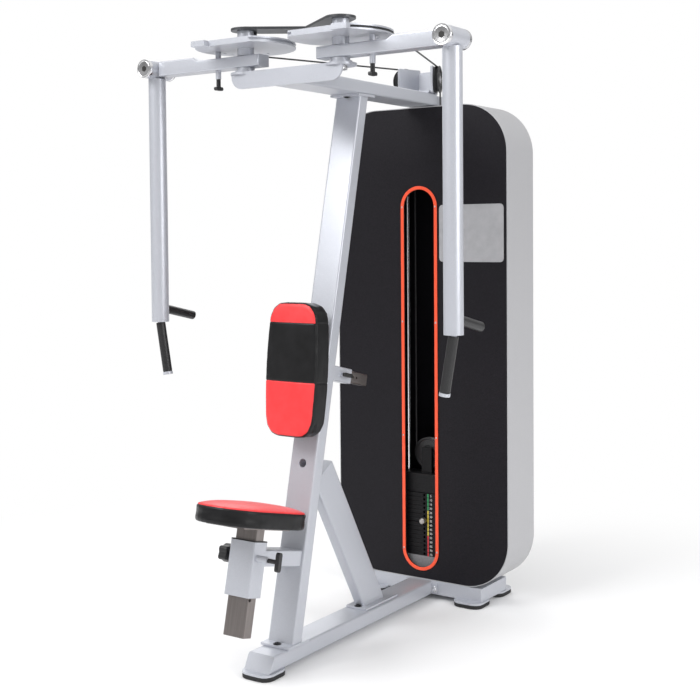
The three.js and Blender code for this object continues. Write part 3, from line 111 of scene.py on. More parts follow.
def emboss(nodes, links, height, strength, depth):
    """Bends the surface's highlights as if the height stood out of it by the depth."""
    bump = nodes.new("ShaderNodeBump")
    bump.inputs["Strength"].default_value = strength
    bump.inputs["Distance"].default_value = depth
    links.new(height, bump.inputs["Height"])
    links.new(bump.outputs["Normal"], nodes["Principled BSDF"].inputs["Normal"])


def powder_coat(name, dark, light, roughness, grain, peel, depth, metallic=0, shine=0.5):
    """A sprayed coat: fine grains that vary its colour, and a slow ripple that bends its highlights."""
    material, nodes, links = new_material(name, roughness, metallic, shine)
    place = nodes.new("ShaderNodeTexCoord").outputs["Object"]
    grains = noise(nodes, links, place, grain, GRAIN_DETAIL)
    colour = tinted(nodes, links, grains, dark, light, GRAIN_STOPS)
    links.new(colour, nodes["Principled BSDF"].inputs["Base Color"])
    emboss(nodes, links, noise(nodes, links, place, peel, PEEL_DETAIL), PEEL_STRENGTH, depth)
    return material


def finish_edges(piece, width):
    """Welds the loose facets, melts flat ones together and breaks each sharp edge."""
    for polygon in piece.data.polygons:
        polygon.use_smooth = True
    piece.modifiers.new("weld", "WELD").merge_threshold = WELD_WITHIN
    flats = piece.modifiers.new("flats", "DECIMATE")
    flats.decimate_type = "DISSOLVE"
    flats.angle_limit = FLAT_WITHIN
    edges = piece.modifiers.new("edges", "BEVEL")
    edges.limit_method = "ANGLE"
    edges.angle_limit = SHARP_FROM
    edges.width = width
    edges.segments = 2
    edges.use_clamp_overlap = True
    piece.modifiers.new("normals", "WEIGHTED_NORMAL")


def coat(names, material, width=EDGE_BREAK):
    """Paints the named CAD nodes and breaks their edges."""
    for name in names:
        node = frame["nodes"][name]
        for slot in node.material_slots:
            slot.material = material
        finish_edges(node, width)


silver_coat = powder_coat(
    "silver_coat", *SILVER, roughness=0.32,
    grain=COAT_GRAIN, peel=COAT_PEEL, depth=COAT_DEPTH, metallic=0.35,
)
coat(FRAME_PARTS, silver_coat)
coat([f"{side}_{part}" for side in SIDES for part in ("cam", "arm", "handle")], silver_coat)

# Rubber, black nylon and other moulded parts: feet, grips, pull pins, knob and liner in satin black,
# each with a fine moulded grain, and the grey rubber plinth under the stack.
RUBBER = ((0.008, 0.008, 0.009), (0.018, 0.018, 0.019))
NYLON = ((0.010, 0.010, 0.011), (0.020, 0.020, 0.022))
PLINTH_GREY = ((0.20, 0.20, 0.21), (0.27, 0.27, 0.28))
FOOT_ROUND = 0.003
GRIP_ROUND = 0.0025
PIN_ROUND = 0.0012
LINER_EDGE = 0.0006
PLINTH_ROUND = 0.002
foot_rubber = powder_coat("foot_rubber", *RUBBER, roughness=0.62, grain=500, peel=700, depth=0.0004)
grip_rubber = powder_coat("grip_rubber", *RUBBER, roughness=0.38, grain=400, peel=1200, depth=0.0002)
black_nylon = powder_coat("black_nylon", *NYLON, roughness=0.34, grain=300, peel=600, depth=0.0001)
plinth_rubber = powder_coat("plinth_rubber", *PLINTH_GREY, roughness=0.6, grain=200, peel=500, depth=0.0004)
tower_feet = [f"tower_foot_{row}_{side}" for row in ("front", "rear") for side in SIDES]
coat(["front_foot"] + tower_feet, foot_rubber, FOOT_ROUND)
coat([f"{side}_{part}_grip" for side in SIDES for part in ("down", "rear")], grip_rubber, GRIP_ROUND)
coat([f"{side}_arm_pin" for side in SIDES] + ["seat_pin", "star_knob", "pad_pin"], black_nylon, PIN_ROUND)
coat(["sleeve_liner"], black_nylon, LINER_EDGE)
coat(["stack_plinth"], plinth_rubber, PLINTH_ROUND)

# Bare steel: the main axles, the seat post and the pad tube are zinc-plated stock, drawn lengthwise.
# The post and the tube have a dull brownish shine with long faint draw marks.
ZINC = ((0.225, 0.200, 0.192), (0.285, 0.260, 0.250))
AXLE_STEEL = ((0.5, 0.5, 0.5), (0.75, 0.75, 0.76))
UP_THE_POST = Vector(joint["seat_height"]["axis"]).normalized()
LEAN = math.atan2(UP_THE_POST.y, UP_THE_POST.z)
MARKS_UP_THE_POST = (900, 900, 7)
MARKS_ALONG_THE_TUBE = (900, 7, 900)
AXLE_MARKS = (60, 60, 300)
MARK_DETAIL = 2
STEEL_METAL = 0.9
STEEL_RIPPLE = 400
STEEL_DEPTH = 0.00006
SHINE_SPREAD = 0.05


def ranged(nodes, links, value, source, target):
    """A node that maps the value from one span of numbers to another."""
    span = nodes.new("ShaderNodeMapRange")
    span.inputs["From Min"].default_value = source[0]
    span.inputs["From Max"].default_value = source[1]
    span.inputs["To Min"].default_value = target[0]
    span.inputs["To Max"].default_value = target[1]
    links.new(value, span.inputs["Value"])
    return span


def drawn_steel(name, dark, light, roughness, lean, marks_per_metre):
    """Steel with draw marks: noise stretched along one axis colours it and varies its shine."""
    material, nodes, links = new_material(name, roughness, STEEL_METAL)
    surface = nodes["Principled BSDF"]
    place = nodes.new("ShaderNodeTexCoord").outputs["Object"]
    turn = nodes.new("ShaderNodeVectorRotate")
    turn.rotation_type = "X_AXIS"
    turn.inputs["Angle"].default_value = lean
    links.new(place, turn.inputs["Vector"])
    stretch = nodes.new("ShaderNodeMapping")
    stretch.inputs["Scale"].default_value = marks_per_metre
    links.new(turn.outputs["Vector"], stretch.inputs["Vector"])
    marks = noise(nodes, links, stretch.outputs["Vector"], scale=1, detail=MARK_DETAIL)
    links.new(tinted(nodes, links, marks, dark, light, GRAIN_STOPS), surface.inputs["Base Color"])
    shine = ranged(nodes, links, marks, (0, 1), (roughness - SHINE_SPREAD, roughness + SHINE_SPREAD))
    links.new(shine.outputs["Result"], surface.inputs["Roughness"])
    ripple = noise(nodes, links, place, STEEL_RIPPLE, PEEL_DETAIL)
    emboss(nodes, links, ripple, PEEL_STRENGTH, STEEL_DEPTH)
    return material


post_steel = drawn_steel(
    "post_steel", *ZINC, roughness=0.30, lean=LEAN, marks_per_metre=MARKS_UP_THE_POST
)
pad_tube_steel = drawn_steel(
    "pad_tube_steel", *ZINC, roughness=0.30, lean=LEAN, marks_per_metre=MARKS_ALONG_THE_TUBE
)
axle_steel = drawn_steel("axle_steel", *AXLE_STEEL, roughness=0.28, lean=0, marks_per_metre=AXLE_MARKS)
coat(["seat_post"], post_steel)
coat(["pad_tube"], pad_tube_steel)
coat([f"{side}_axle" for side in SIDES], axle_steel)

# Chrome and nickel: the guide rods and the capped swivel axles in the tees are hard chromed and
# polished, with a very slight waviness. The selector pin is plated with nickel.
CHROME = ((0.70, 0.70, 0.71), (0.84, 0.84, 0.86))
NICKEL = ((0.38, 0.36, 0.34), (0.47, 0.45, 0.43))
ROD_EDGE = 0.0008
CAP_ROUND = 0.0012
chrome = powder_coat("chrome", *CHROME, roughness=0.14, grain=40, peel=90, depth=0.00004, metallic=1)
nickel = powder_coat("nickel", *NICKEL, roughness=0.28, grain=200, peel=300, depth=0.00005, metallic=0.9)
coat([f"{side}_guide_rod" for side in SIDES], chrome, ROD_EDGE)
coat(["selector_pin"], nickel, ROD_EDGE)
coat([f"{side}_swivel_axle" for side in SIDES], chrome, CAP_ROUND)

# Link plate and weight plates: dark satin paint, on a steel plate over the cams and on the cast iron
# plates of the stack. The castings have a rougher skin under the paint.
LINK_PAINT = ((0.050, 0.052, 0.056), (0.085, 0.088, 0.094))
IRON_PAINT = ((0.006, 0.006, 0.007), (0.013, 0.013, 0.014))
LINK_EDGE = 0.0015
PLATE_EDGE = 0.0005
HEAD_EDGE = 0.0015
dark_paint = powder_coat(
    "dark_paint", *LINK_PAINT, roughness=0.36, grain=500, peel=200, depth=0.0002, metallic=0.4
)
cast_paint = powder_coat(
    "cast_paint", *IRON_PAINT, roughness=0.5, grain=300, peel=350, depth=0.0010, shine=0.2
)
coat(["link_plate"], dark_paint, LINK_EDGE)
coat(["lower_plates", "selected_plates"], cast_paint, PLATE_EDGE)
coat(["head_plate"], cast_paint, HEAD_EDGE)

# Cables: steel wire in a black nylon jacket, from each cam over a top pulley and round the pulley on
# the weight stack. They are straight between the pulleys, so the level runs and the loop stay as they
# are. Each drop is a smooth round tube with its top at the pulley.
JACKET = ((0.020, 0.020, 0.021), (0.035, 0.035, 0.037))
CABLE_EDGE = 0.0004
DROP_SIDES = 32
SMOOTH_BELOW = math.radians(40)
cable_jacket = powder_coat(
    "cable_jacket", *JACKET, roughness=0.35, grain=300, peel=900, depth=0.0001, metallic=0.2
)
coat([f"{side}_cable" for side in SIDES] + ["cable_loop"], cable_jacket, CABLE_EDGE)


def deselect():
    bpy.ops.object.select_all(action="DESELECT")


for side in SIDES:
    low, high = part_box(f"{side}_cable_drop")
    middle = (low + high) / 2
    deselect()
    bpy.ops.mesh.primitive_cylinder_add(
        vertices=DROP_SIDES, radius=(high.x - low.x) / 2, depth=high.z - low.z, location=middle
    )
    drop = bpy.context.object
    drop.name = f"{side}_drop"
    bpy.ops.object.transform_apply(location=True, rotation=True, scale=True)
    bpy.ops.object.shade_smooth_by_angle(angle=SMOOTH_BELOW)
    drop.data.materials.append(cable_jacket)
    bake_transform(drop)
    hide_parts(f"{side}_cable_drop")

# Housing band: a deep ring of 3 mm sheet steel bent round the tower and painted light grey. The column
# passes through openings at its rear, and the cables through two holes in its top.
BAND_GREY = ((0.405, 0.405, 0.42), (0.49, 0.49, 0.506))
HOUSING_CORNER = 0.180
HOUSING_STEPS = 40
SKIN = 0.003
SHEET_EDGE = 0.0009
CUT_PAST = 0.01
COLUMN_ROOM = 0.0004
COLUMN_WIDTH = 0.050
COLUMN_DEPTH = 0.045
DROP_HOLE = 0.010
ALONG_SHARE = 0.9


def only(piece):
    deselect()
    piece.select_set(True)
    bpy.context.view_layer.objects.active = piece


def rounded_slab(name, low, high, corner, steps):
    """A block whose four edges along Y are rounded, so its outline is rounded seen from the front."""
    low, high = Vector(low), Vector(high)
    deselect()
    bpy.ops.mesh.primitive_cube_add(size=1, location=(low + high) / 2, scale=high - low)
    slab = bpy.context.object
    slab.name = name
    bpy.ops.object.transform_apply(location=True, rotation=True, scale=True)
    bpy.ops.object.mode_set(mode="EDIT")
    bpy.ops.mesh.select_mode(type="EDGE")
    bpy.ops.mesh.select_all(action="DESELECT")
    mesh = bmesh.from_edit_mesh(slab.data)
    for edge in mesh.edges:
        run = edge.verts[0].co - edge.verts[1].co
        edge.select = abs(run.y) > ALONG_SHARE * run.length
    bmesh.update_edit_mesh(slab.data)
    bpy.ops.mesh.bevel(offset=corner, segments=steps, affect="EDGES")
    bpy.ops.object.mode_set(mode="OBJECT")
    return slab


def bored(piece, tool):
    """Cuts the tool out of the piece and removes the tool."""
    only(piece)
    hole = piece.modifiers.new("hole", "BOOLEAN")
    hole.operation = "DIFFERENCE"
    hole.solver = "EXACT"
    hole.object = tool
    bpy.ops.object.modifier_apply(modifier="hole")
    bpy.data.objects.remove(tool)
    return piece


def round_edges(piece, width, segments=2):
    """Breaks the piece's sharp edges and shades what is left smooth."""
    only(piece)
    edges = piece.modifiers.new("edges", "BEVEL")
    edges.limit_method = "ANGLE"
    edges.angle_limit = SHARP_FROM
    edges.width = width
    edges.segments = segments
    bpy.ops.object.modifier_apply(modifier="edges")
    bpy.ops.object.shade_smooth()
    piece.modifiers.new("normals", "WEIGHTED_NORMAL")
    bpy.ops.object.modifier_apply(modifier="normals")
    return piece


def hang(piece, body, slot, material, *nodes):
    """Gives a finished piece its material, the body that it rides on and the nodes it stands for."""
    piece.data.materials.clear()
    piece.data.materials.append(material)
    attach(piece, body)
    if nodes:
        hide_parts(*nodes)


band_coat = powder_coat(
    "band_coat", *BAND_GREY, roughness=0.38,
    grain=COAT_GRAIN, peel=COAT_PEEL, depth=COAT_DEPTH, metallic=0.2,
)
band_low, band_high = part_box("housing_band")
band_middle = (band_low + band_high) / 2
inset = Vector((SKIN, -CUT_PAST, SKIN))
band = bored(
    rounded_slab("tower_band", band_low, band_high, HOUSING_CORNER, HOUSING_STEPS),
    rounded_slab("inside", band_low + inset, band_high - inset, HOUSING_CORNER - SKIN, HOUSING_STEPS),
)
column_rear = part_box("tower_column")[1].y
opening = (
    COLUMN_WIDTH + 2 * COLUMN_ROOM, COLUMN_DEPTH + 2 * COLUMN_ROOM, band_high.z - band_low.z + 2 * CUT_PAST
)
deselect()
bpy.ops.mesh.primitive_cube_add(
    size=1, location=(0, column_rear - COLUMN_DEPTH / 2, band_middle.z), scale=opening
)
bored(band, bpy.context.object)
drop_low, drop_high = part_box("right_cable_drop")
drop_middle = (drop_low + drop_high) / 2
for way in (-1, 1):
    deselect()
    bpy.ops.mesh.primitive_cylinder_add(
        vertices=DROP_SIDES, radius=DROP_HOLE, depth=4 * CUT_PAST,
        location=(way * drop_middle.x, drop_middle.y, band_high.z),
    )
    bored(band, bpy.context.object)
hang(round_edges(band, SHEET_EDGE), "frame", "band_paint", band_coat, "housing_band")

# Front and rear panels: sheet steel let into the band behind a thin lip, in a black textured powder
# coat. The same black on the inner walls of the band is painted shade for the unlit inside of the
# housing. The front panel has the long round-ended slot that shows the weight stack.
BLACK_COAT = ((0.007, 0.0062, 0.0085), (0.013, 0.0118, 0.0155))
PANEL_GAP = 0.0003
PANEL_CORNER = HOUSING_CORNER - SKIN - PANEL_GAP
RIM_NORMAL = 0.5
TRIM_WIDTH = 0.0125
SLOT_STEPS = 24
END_FLAT = 0.0003
black_coat = powder_coat(
    "black_coat", *BLACK_COAT, roughness=0.42, grain=350, peel=520, depth=0.0010, shine=0.18
)
# The band's inner walls take the black coat: painted shade for the unlit inside of the housing.
band.data.materials.append(black_coat)
for polygon in band.data.polygons:
    inward = (polygon.center - band_middle).dot(polygon.normal) < 0
    polygon.material_index = 1 if inward and abs(polygon.normal.y) < RIM_NORMAL else 0
trim_low, trim_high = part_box("slot_trim")
panel_low, panel_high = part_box("front_panel")


def slot_block(name, inset, y_low, y_high):
    """A round-ended block as wide as the slot's trim, less an inset all round."""
    low = Vector((trim_low.x + inset, y_low, trim_low.z + inset))
    high = Vector((trim_high.x - inset, y_high, trim_high.z - inset))
    return rounded_slab(name, low, high, (high.x - low.x) / 2 - END_FLAT, SLOT_STEPS)


front_panel = bored(
    rounded_slab("tower_front", panel_low, panel_high, PANEL_CORNER, HOUSING_STEPS),
    slot_block("slot", TRIM_WIDTH, panel_low.y - CUT_PAST, panel_high.y + CUT_PAST),
)
hang(round_edges(front_panel, SHEET_EDGE), "frame", "panel_paint", black_coat, "front_panel")
rear_panel = rounded_slab("tower_rear", *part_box("rear_panel"), PANEL_CORNER, HOUSING_STEPS)
hang(round_edges(rear_panel, SHEET_EDGE), "frame", "panel_paint", black_coat, "rear_panel")

# Slot trim: one moulded ring of orange-red plastic round the slot. Small bright round-headed screws,
# four down each side, hold it on the front panel.
TRIM_ORANGE = ((0.92, 0.085, 0.028), (0.97, 0.105, 0.038))
SCREW_STEEL = ((0.45, 0.45, 0.46), (0.62, 0.62, 0.64))
TRIM_ROUND = 0.0022
TRIM_ROUND_STEPS = 3
SCREW_RADIUS = 0.0032
SCREW_HEIGHT = 0.0016
SCREW_SHARES = [(0, 0), (1, 0), (1, 0.45), (0.72, 0.85), (0.3, 1), (0.22, 0.6), (0, 0.55)]
SCREW_ROWS = 4
SCREW_STEPS = 20
POLE_WITHIN = 1e-5
TURNED_SMOOTH = math.radians(35)
FORWARD = (0, -1, 0)
BACKWARD = (0, 1, 0)


def turned(name, profile, steps, ring=False):
    """A profile of (radius, height) pairs spun about Z. A ring's profile closes on itself."""
    ends = [(i, i + 1) for i in range(len(profile) - 1)]
    if ring:
        ends.append((len(profile) - 1, 0))
    mesh = bpy.data.meshes.new(name)
    mesh.from_pydata([(radius, 0, height) for radius, height in profile], ends, [])
    piece = bpy.data.objects.new(name, mesh)
    bpy.context.collection.objects.link(piece)
    only(piece)
    bpy.ops.object.mode_set(mode="EDIT")
    bpy.ops.mesh.select_all(action="SELECT")
    bpy.ops.mesh.spin(steps=steps, angle=2 * math.pi, center=(0, 0, 0), axis=(0, 0, 1))
    bpy.ops.mesh.select_all(action="SELECT")
    bpy.ops.mesh.remove_doubles(threshold=POLE_WITHIN)
    bpy.ops.mesh.normals_make_consistent(inside=False)
    bpy.ops.object.mode_set(mode="OBJECT")
    bpy.ops.object.shade_smooth_by_angle(angle=TURNED_SMOOTH)
    return piece


def pointed(piece, place, way):
    """Stands the piece at a place with its Z axis along a direction, and keeps that in its mesh."""
    turn = Vector(way).normalized().to_track_quat("Z", "Y").to_matrix().to_4x4()
    piece.data.transform(Matrix.Translation(place) @ turn)
    return piece


def copied(piece, name):
    copy = bpy.data.objects.new(name, piece.data.copy())
    bpy.context.collection.objects.link(copy)
    return copy


def joined(name, pieces):
    """Makes one piece of several loose ones."""
    deselect()
    for piece in pieces:
        piece.select_set(True)
    bpy.context.view_layer.objects.active = pieces[0]
    bpy.ops.object.join()
    pieces[0].name = name
    return pieces[0]


trim_plastic = powder_coat("trim_plastic", *TRIM_ORANGE, roughness=0.36, grain=200, peel=500, depth=0.0001)
trim = bored(
    slot_block("slot_ring", 0, trim_low.y, trim_high.y),
    slot_block("slot", TRIM_WIDTH, trim_low.y - CUT_PAST, trim_high.y + CUT_PAST),
)
hang(round_edges(trim, TRIM_ROUND, TRIM_ROUND_STEPS), "frame", "trim_paint", trim_plastic, "slot_trim")
bright_screw = powder_coat(
    "bright_screw", *SCREW_STEEL, roughness=0.3, grain=300, peel=300, depth=0.0001, metallic=0.9
)
screw_profile = [(across * SCREW_RADIUS, up * SCREW_HEIGHT) for across, up in SCREW_SHARES]
screw = turned("trim_screw", screw_profile, SCREW_STEPS)
slot_radius = (trim_high.x - trim_low.x) / 2
straight_low = trim_low.z + slot_radius
straight_high = trim_high.z - slot_radius
trim_screws = []
for column_x in (trim_low.x + TRIM_WIDTH / 2, trim_high.x - TRIM_WIDTH / 2):
    for row in range(SCREW_ROWS):
        z = straight_low + (straight_high - straight_low) * row / (SCREW_ROWS - 1)
        trim_screws.append(pointed(copied(screw, "trim_screw_copy"), (column_x, trim_low.y, z), FORWARD))
bpy.data.objects.remove(screw)
hang(joined("trim_screws", trim_screws), "frame", "bare_steel", bright_screw)

# Placard: a rectangle of plain grey self-adhesive film with rounded corners, stuck on the front panel
# beside the slot.
FILM_GREY = ((0.36, 0.36, 0.375), (0.41, 0.41, 0.425))
FILM_EDGE = 0.0004
placard_film = powder_coat("placard_film", *FILM_GREY, roughness=0.42, grain=30, peel=300, depth=0.0001)
coat(["placard"], placard_film, FILM_EDGE)

# Pulleys: black nylon wheels, each with a cable groove, a thin web between rim and hub, and a bright
# bearing in its middle. Two stand over the top beam and one on the head of the stack.
PULLEY_STEPS = 64
TOP_GROOVE = 0.0080
FLOATING_GROOVE = 0.0065
GROOVE_FLOOR = 0.0026
GROOVE_RISE = 0.0012
GROOVE_MOUTH = 0.0045
RIM_EDGE = 0.001
RIM_WALL = 0.006
WEB_SLOPE = 0.003
WEB_DISH = 0.004
HUB_WALL = 0.010
BORE_EDGE = 0.0006
BEARING_STEPS = 40
BEARING_SEAT = 0.007
BEARING_WALL = 0.0075
BEARING_PROUD = 0.0004
AXLE_GAP = 0.0005
OUTER_RACE = 0.002
INNER_RACE = 0.0024
RACE_SLOPE = 0.0006
SHIELD_DEEP = 0.0008


def pulley(name, rim, groove, bore, width):
    """A grooved wheel about Z: groove floor, rim, dished webs on both faces and a hub."""
    half = width / 2
    web = half - WEB_DISH
    hub = bore + HUB_WALL
    upper = [
        (groove, 0), (groove + GROOVE_RISE, GROOVE_FLOOR),
        (rim - RIM_EDGE, GROOVE_MOUTH), (rim, GROOVE_MOUTH + RIM_EDGE),
        (rim, half - RIM_EDGE), (rim - RIM_EDGE, half),
        (rim - RIM_WALL, half), (rim - RIM_WALL - WEB_SLOPE, web),
        (hub + RIM_EDGE + WEB_SLOPE, web), (hub + RIM_EDGE, half),
        (bore + BORE_EDGE, half), (bore, half - BORE_EDGE),
    ]
    lower = [(radius, -height) for radius, height in reversed(upper[1:])]
    return turned(name, lower + upper, PULLEY_STEPS, ring=True)


def bearing(name, bore, width):
    """The steel bearing's face: an outer ring, a shield and an inner ring."""
    half = width / 2 + BEARING_PROUD
    shield = half - SHIELD_DEEP
    inner = bore + AXLE_GAP
    outer = bore + BEARING_WALL
    profile = [
        (inner, -half), (outer, -half),
        (outer, half), (outer - OUTER_RACE, half),
        (outer - OUTER_RACE - RACE_SLOPE, shield), (bore + INNER_RACE + RACE_SLOPE, shield),
        (bore + INNER_RACE, half), (inner, half),
    ]
    return turned(name, profile, BEARING_STEPS, ring=True)


def wheel_sizes(node, axis):
    """The centre, outer radius, bore radius and width of a CAD wheel."""
    low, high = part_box(node)
    points = np.array([vertex.co for vertex in frame["nodes"][node].data.vertices])
    centre = (low + high) / 2
    out = points - np.array(centre)
    along = out @ np.array(axis)
    radii = np.sqrt(np.maximum((out**2).sum(1) - along**2, 0))
    return centre, radii.max(), radii.min(), along.max() - along.min()


for node, groove_depth in (
    ("left_top_pulley", TOP_GROOVE),
    ("right_top_pulley", TOP_GROOVE),
    ("floating_pulley", FLOATING_GROOVE),
):
    axis = Vector(joint[f"{node}_spin"]["axis"]).normalized()
    centre, rim, bore, width = wheel_sizes(node, axis)
    wheel = pulley(f"{node}_wheel", rim, rim - groove_depth, bore + BEARING_SEAT, width)
    hang(pointed(wheel, centre, axis), node, "black_plastic", black_nylon, node)
    ring = bearing(f"{node}_bearing", bore, width)
    hang(pointed(ring, centre, axis), node, "bare_steel", bright_screw)

# Wound cable: the end of each cable lies in its cam's groove, from the clamp round to where it leaves,
# and on over the arc that winds on as the arm swings.
CABLE_RADIUS = 0.003
CABLE_OVER = 0.00015
CAM_CABLE_RADIUS = 0.160
WOUND_FROM = math.radians(-46)
WOUND_TO = math.radians(119)
WOUND_STEPS = 60
WOUND_SIDES = 16
WOUND_WITHIN = 1e-6
cable_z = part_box("right_cable")[1].z - CABLE_RADIUS
axle_place = Vector(joint["right_arm_swing"]["pos_m"])


def wound_cable(name, way):
    """A round section spun about the axle; way is 1 on the right and -1 on the left."""
    deselect()
    bpy.ops.mesh.primitive_circle_add(
        vertices=WOUND_SIDES, radius=CABLE_RADIUS + CABLE_OVER, fill_type="NGON"
    )
    piece = bpy.context.object
    piece.name = name
    start = WOUND_FROM if way > 0 else math.pi - WOUND_FROM
    on_edge = Matrix.Translation((CAM_CABLE_RADIUS, 0, 0)) @ Matrix.Rotation(math.pi / 2, 4, "X")
    piece.data.transform(Matrix.Rotation(start, 4, "Z") @ on_edge)
    bpy.ops.object.mode_set(mode="EDIT")
    bpy.ops.mesh.select_all(action="SELECT")
    bpy.ops.mesh.spin(
        steps=WOUND_STEPS, angle=way * (WOUND_FROM - WOUND_TO), center=(0, 0, 0), axis=(0, 0, 1)
    )
    bpy.ops.mesh.select_all(action="SELECT")
    bpy.ops.mesh.remove_doubles(threshold=WOUND_WITHIN)
    bpy.ops.mesh.normals_make_consistent(inside=False)
    bpy.ops.object.mode_set(mode="OBJECT")
    piece.data.transform(Matrix.Translation((way * axle_place.x, axle_place.y, cable_z)))
    bpy.ops.object.shade_smooth_by_angle(angle=SMOOTH_BELOW)
    return piece


for side, way in (("left", -1), ("right", 1)):
    hang(wound_cable(f"{side}_wound_cable", way), f"{side}_cam", "cable_jacket", cable_jacket)

# Bolts: black socket screws that fix the upright's foot and head and the brace's toe, and bright ones
# through the base beam's end plate. Each has a washer and a hexagon socket.
BOLT_BLACK = ((0.015, 0.015, 0.016), (0.03, 0.03, 0.032))
BOLT_SHARES = [
    (0, 0), (1.55, 0), (1.55, 0.14), (1.5, 0.18), (1.05, 0.18), (1.05, 0.40), (0.95, 0.52), (0.75, 0.56),
    (0, 0.56),
]
BOLT_STEPS = 36
HEX_SIDES = 6
HEX_RADIUS_SHARE = 0.52
HEX_DEPTH_SHARE = 0.7
HEX_MIDDLE_SHARE = 0.6
LARGE_BOLT = 0.0085
SMALL_BOLT = 0.0075
FLANGE = 0.008
FOOT_BOLT_IN = 0.015
BRACE_BOLT_IN = 0.0125
HEAD_BOLT_AHEAD = 0.0175
END_PLATE = 0.006
END_BOLT_X = 0.061
END_BOLT_Z = 0.040
UPWARD = (0, 0, 1)
DOWNWARD = (0, 0, -1)


def socket_bolt(name):
    """A low head on a washer, bored with a hexagon socket, with a head radius of one metre."""
    head = turned(name, BOLT_SHARES, BOLT_STEPS)
    deselect()
    bpy.ops.mesh.primitive_cylinder_add(
        vertices=HEX_SIDES, radius=HEX_RADIUS_SHARE, depth=HEX_DEPTH_SHARE,
        location=(0, 0, HEX_MIDDLE_SHARE),
    )
    return bored(head, bpy.context.object)


def bolt_row(name, places, slot, material):
    """One socket screw for each (point, direction, head radius), joined into one piece."""
    bolt = socket_bolt(name)
    row = []
    for place, way, radius in places:
        one = copied(bolt, f"{name}_copy")
        one.data.transform(Matrix.Scale(radius, 4))
        row.append(pointed(one, place, way))
    bpy.data.objects.remove(bolt)
    hang(joined(name, row), "frame", slot, material)


bolt_black = powder_coat(
    "bolt_black", *BOLT_BLACK, roughness=0.38, grain=300, peel=400, depth=0.0001, metallic=0.6
)
foot_low, foot_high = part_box("upright")
head_bolt_y = foot_low.y + (foot_high.z - foot_low.z) * UP_THE_POST.y / UP_THE_POST.z + HEAD_BOLT_AHEAD
brace_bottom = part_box("brace")[0].z
brace_points = [vertex.co for vertex in frame["nodes"]["brace"].data.vertices]
toe_y = min(point.y for point in brace_points if point.z < brace_bottom + FLANGE / 2)
end_plate_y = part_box("base_beam")[1].y - END_PLATE
foot_bolts = [
    ((0, foot_low.y + FOOT_BOLT_IN, foot_low.z + FLANGE), UPWARD, LARGE_BOLT),
    ((0, head_bolt_y, foot_high.z - FLANGE), DOWNWARD, SMALL_BOLT),
    ((0, toe_y + BRACE_BOLT_IN, brace_bottom + FLANGE), UPWARD, LARGE_BOLT),
]
end_bolts = [((way * END_BOLT_X, end_plate_y, END_BOLT_Z), FORWARD, SMALL_BOLT) for way in (-1, 1)]
bolt_row("foot_bolts", foot_bolts, "black_plastic", bolt_black)
bolt_row("end_bolts", end_bolts, "bare_steel", chrome)

# Tee caps: a turned chrome face on each end of the swivel axles, dished round a hexagon socket. A flat
# dark hexagon laid in each socket is painted shade for the socket's depth.
# Colour of the dark hexagons: painted shade for the depth of the sockets.
SOCKET_SHADE = ((0.010, 0.010, 0.010), (0.025, 0.023, 0.021))
CAP_STEPS = 64
CAP_EDGE = 0.0006
CAP_PROUD = 0.0016
CAP_DISH = 0.0012
CAP_GROOVE_SHARES = (0.86, 0.83, 0.80)
CAP_DISH_SHARES = (0.74, 0.40)
SOCKET_RADIUS = 0.0105
SOCKET_STAND = 0.0003
socket_dark = powder_coat(
    "socket_dark", *SOCKET_SHADE, roughness=0.5, grain=300, peel=300, depth=0.0001, metallic=0.2
)


def cap_face(name, radius):
    """A disc with a turned ring groove near its rim and a conical dish down to the socket."""
    shoulder = CAP_PROUD - CAP_EDGE
    dish = CAP_PROUD - CAP_DISH
    groove_out, groove_floor, groove_in = [share * radius for share in CAP_GROOVE_SHARES]
    dish_out, dish_in = [share * radius for share in CAP_DISH_SHARES]
    profile = [
        (0, 0), (radius, 0), (radius, shoulder), (radius - CAP_EDGE, CAP_PROUD),
        (groove_out, CAP_PROUD), (groove_floor, shoulder), (groove_in, CAP_PROUD),
        (dish_out, CAP_PROUD), (dish_in, dish), (0, dish),
    ]
    return turned(name, profile, CAP_STEPS)


def socket_plug(name):
    """A dark hexagon in the cap's socket, painted shade for the socket's depth."""
    deselect()
    bpy.ops.mesh.primitive_cylinder_add(
        vertices=HEX_SIDES, radius=SOCKET_RADIUS, depth=CAP_PROUD - CAP_DISH,
        location=(0, 0, (CAP_PROUD - CAP_DISH) / 2 + SOCKET_STAND),
    )
    plug = bpy.context.object
    plug.name = name
    bpy.ops.object.transform_apply(location=True, rotation=True, scale=True)
    return plug


for side in SIDES:
    low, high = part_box(f"{side}_swivel_axle")
    middle = (low + high) / 2
    for end, y, way in (("front", low.y, FORWARD), ("rear", high.y, BACKWARD)):
        place = (middle.x, y, middle.z)
        face = cap_face(f"{side}_cap_{end}", (high.z - low.z) / 2 - CAP_EDGE)
        hang(pointed(face, place, way), f"{side}_arm", "chrome", chrome)
        # A dark hexagon in the socket: painted shade for its depth.
        plug = socket_plug(f"{side}_socket_{end}")
        hang(pointed(plug, place, way), f"{side}_arm", "dark_steel", socket_dark)

# Weight stack marks: each plate has a coloured strip and a plain number, printed on thin labels that
# are stuck on its front. Those of the plates that the pin picks up rise with the stack.
PLATES = 15
PICKED_UP = 7
PLATE_PITCH = 0.016
STRIP_X = (0.0135, 0.0195)
STRIP_GAP = 0.0016
STRIP_COLOURS = (
    ("green", 4, (0.02, 0.30, 0.10)),
    ("yellow", 10, (0.72, 0.55, 0.06)),
    ("red", PLATES, (0.66, 0.03, 0.04)),
)
NUMBER_WHITE = (0.80, 0.80, 0.78)
NUMBER_X = 0.0290
NUMBER_SIZE = 0.0115
NUMBER_STEP = 5
LABEL_RISE = 0.0002
INK_DARK_SHARE = 0.85


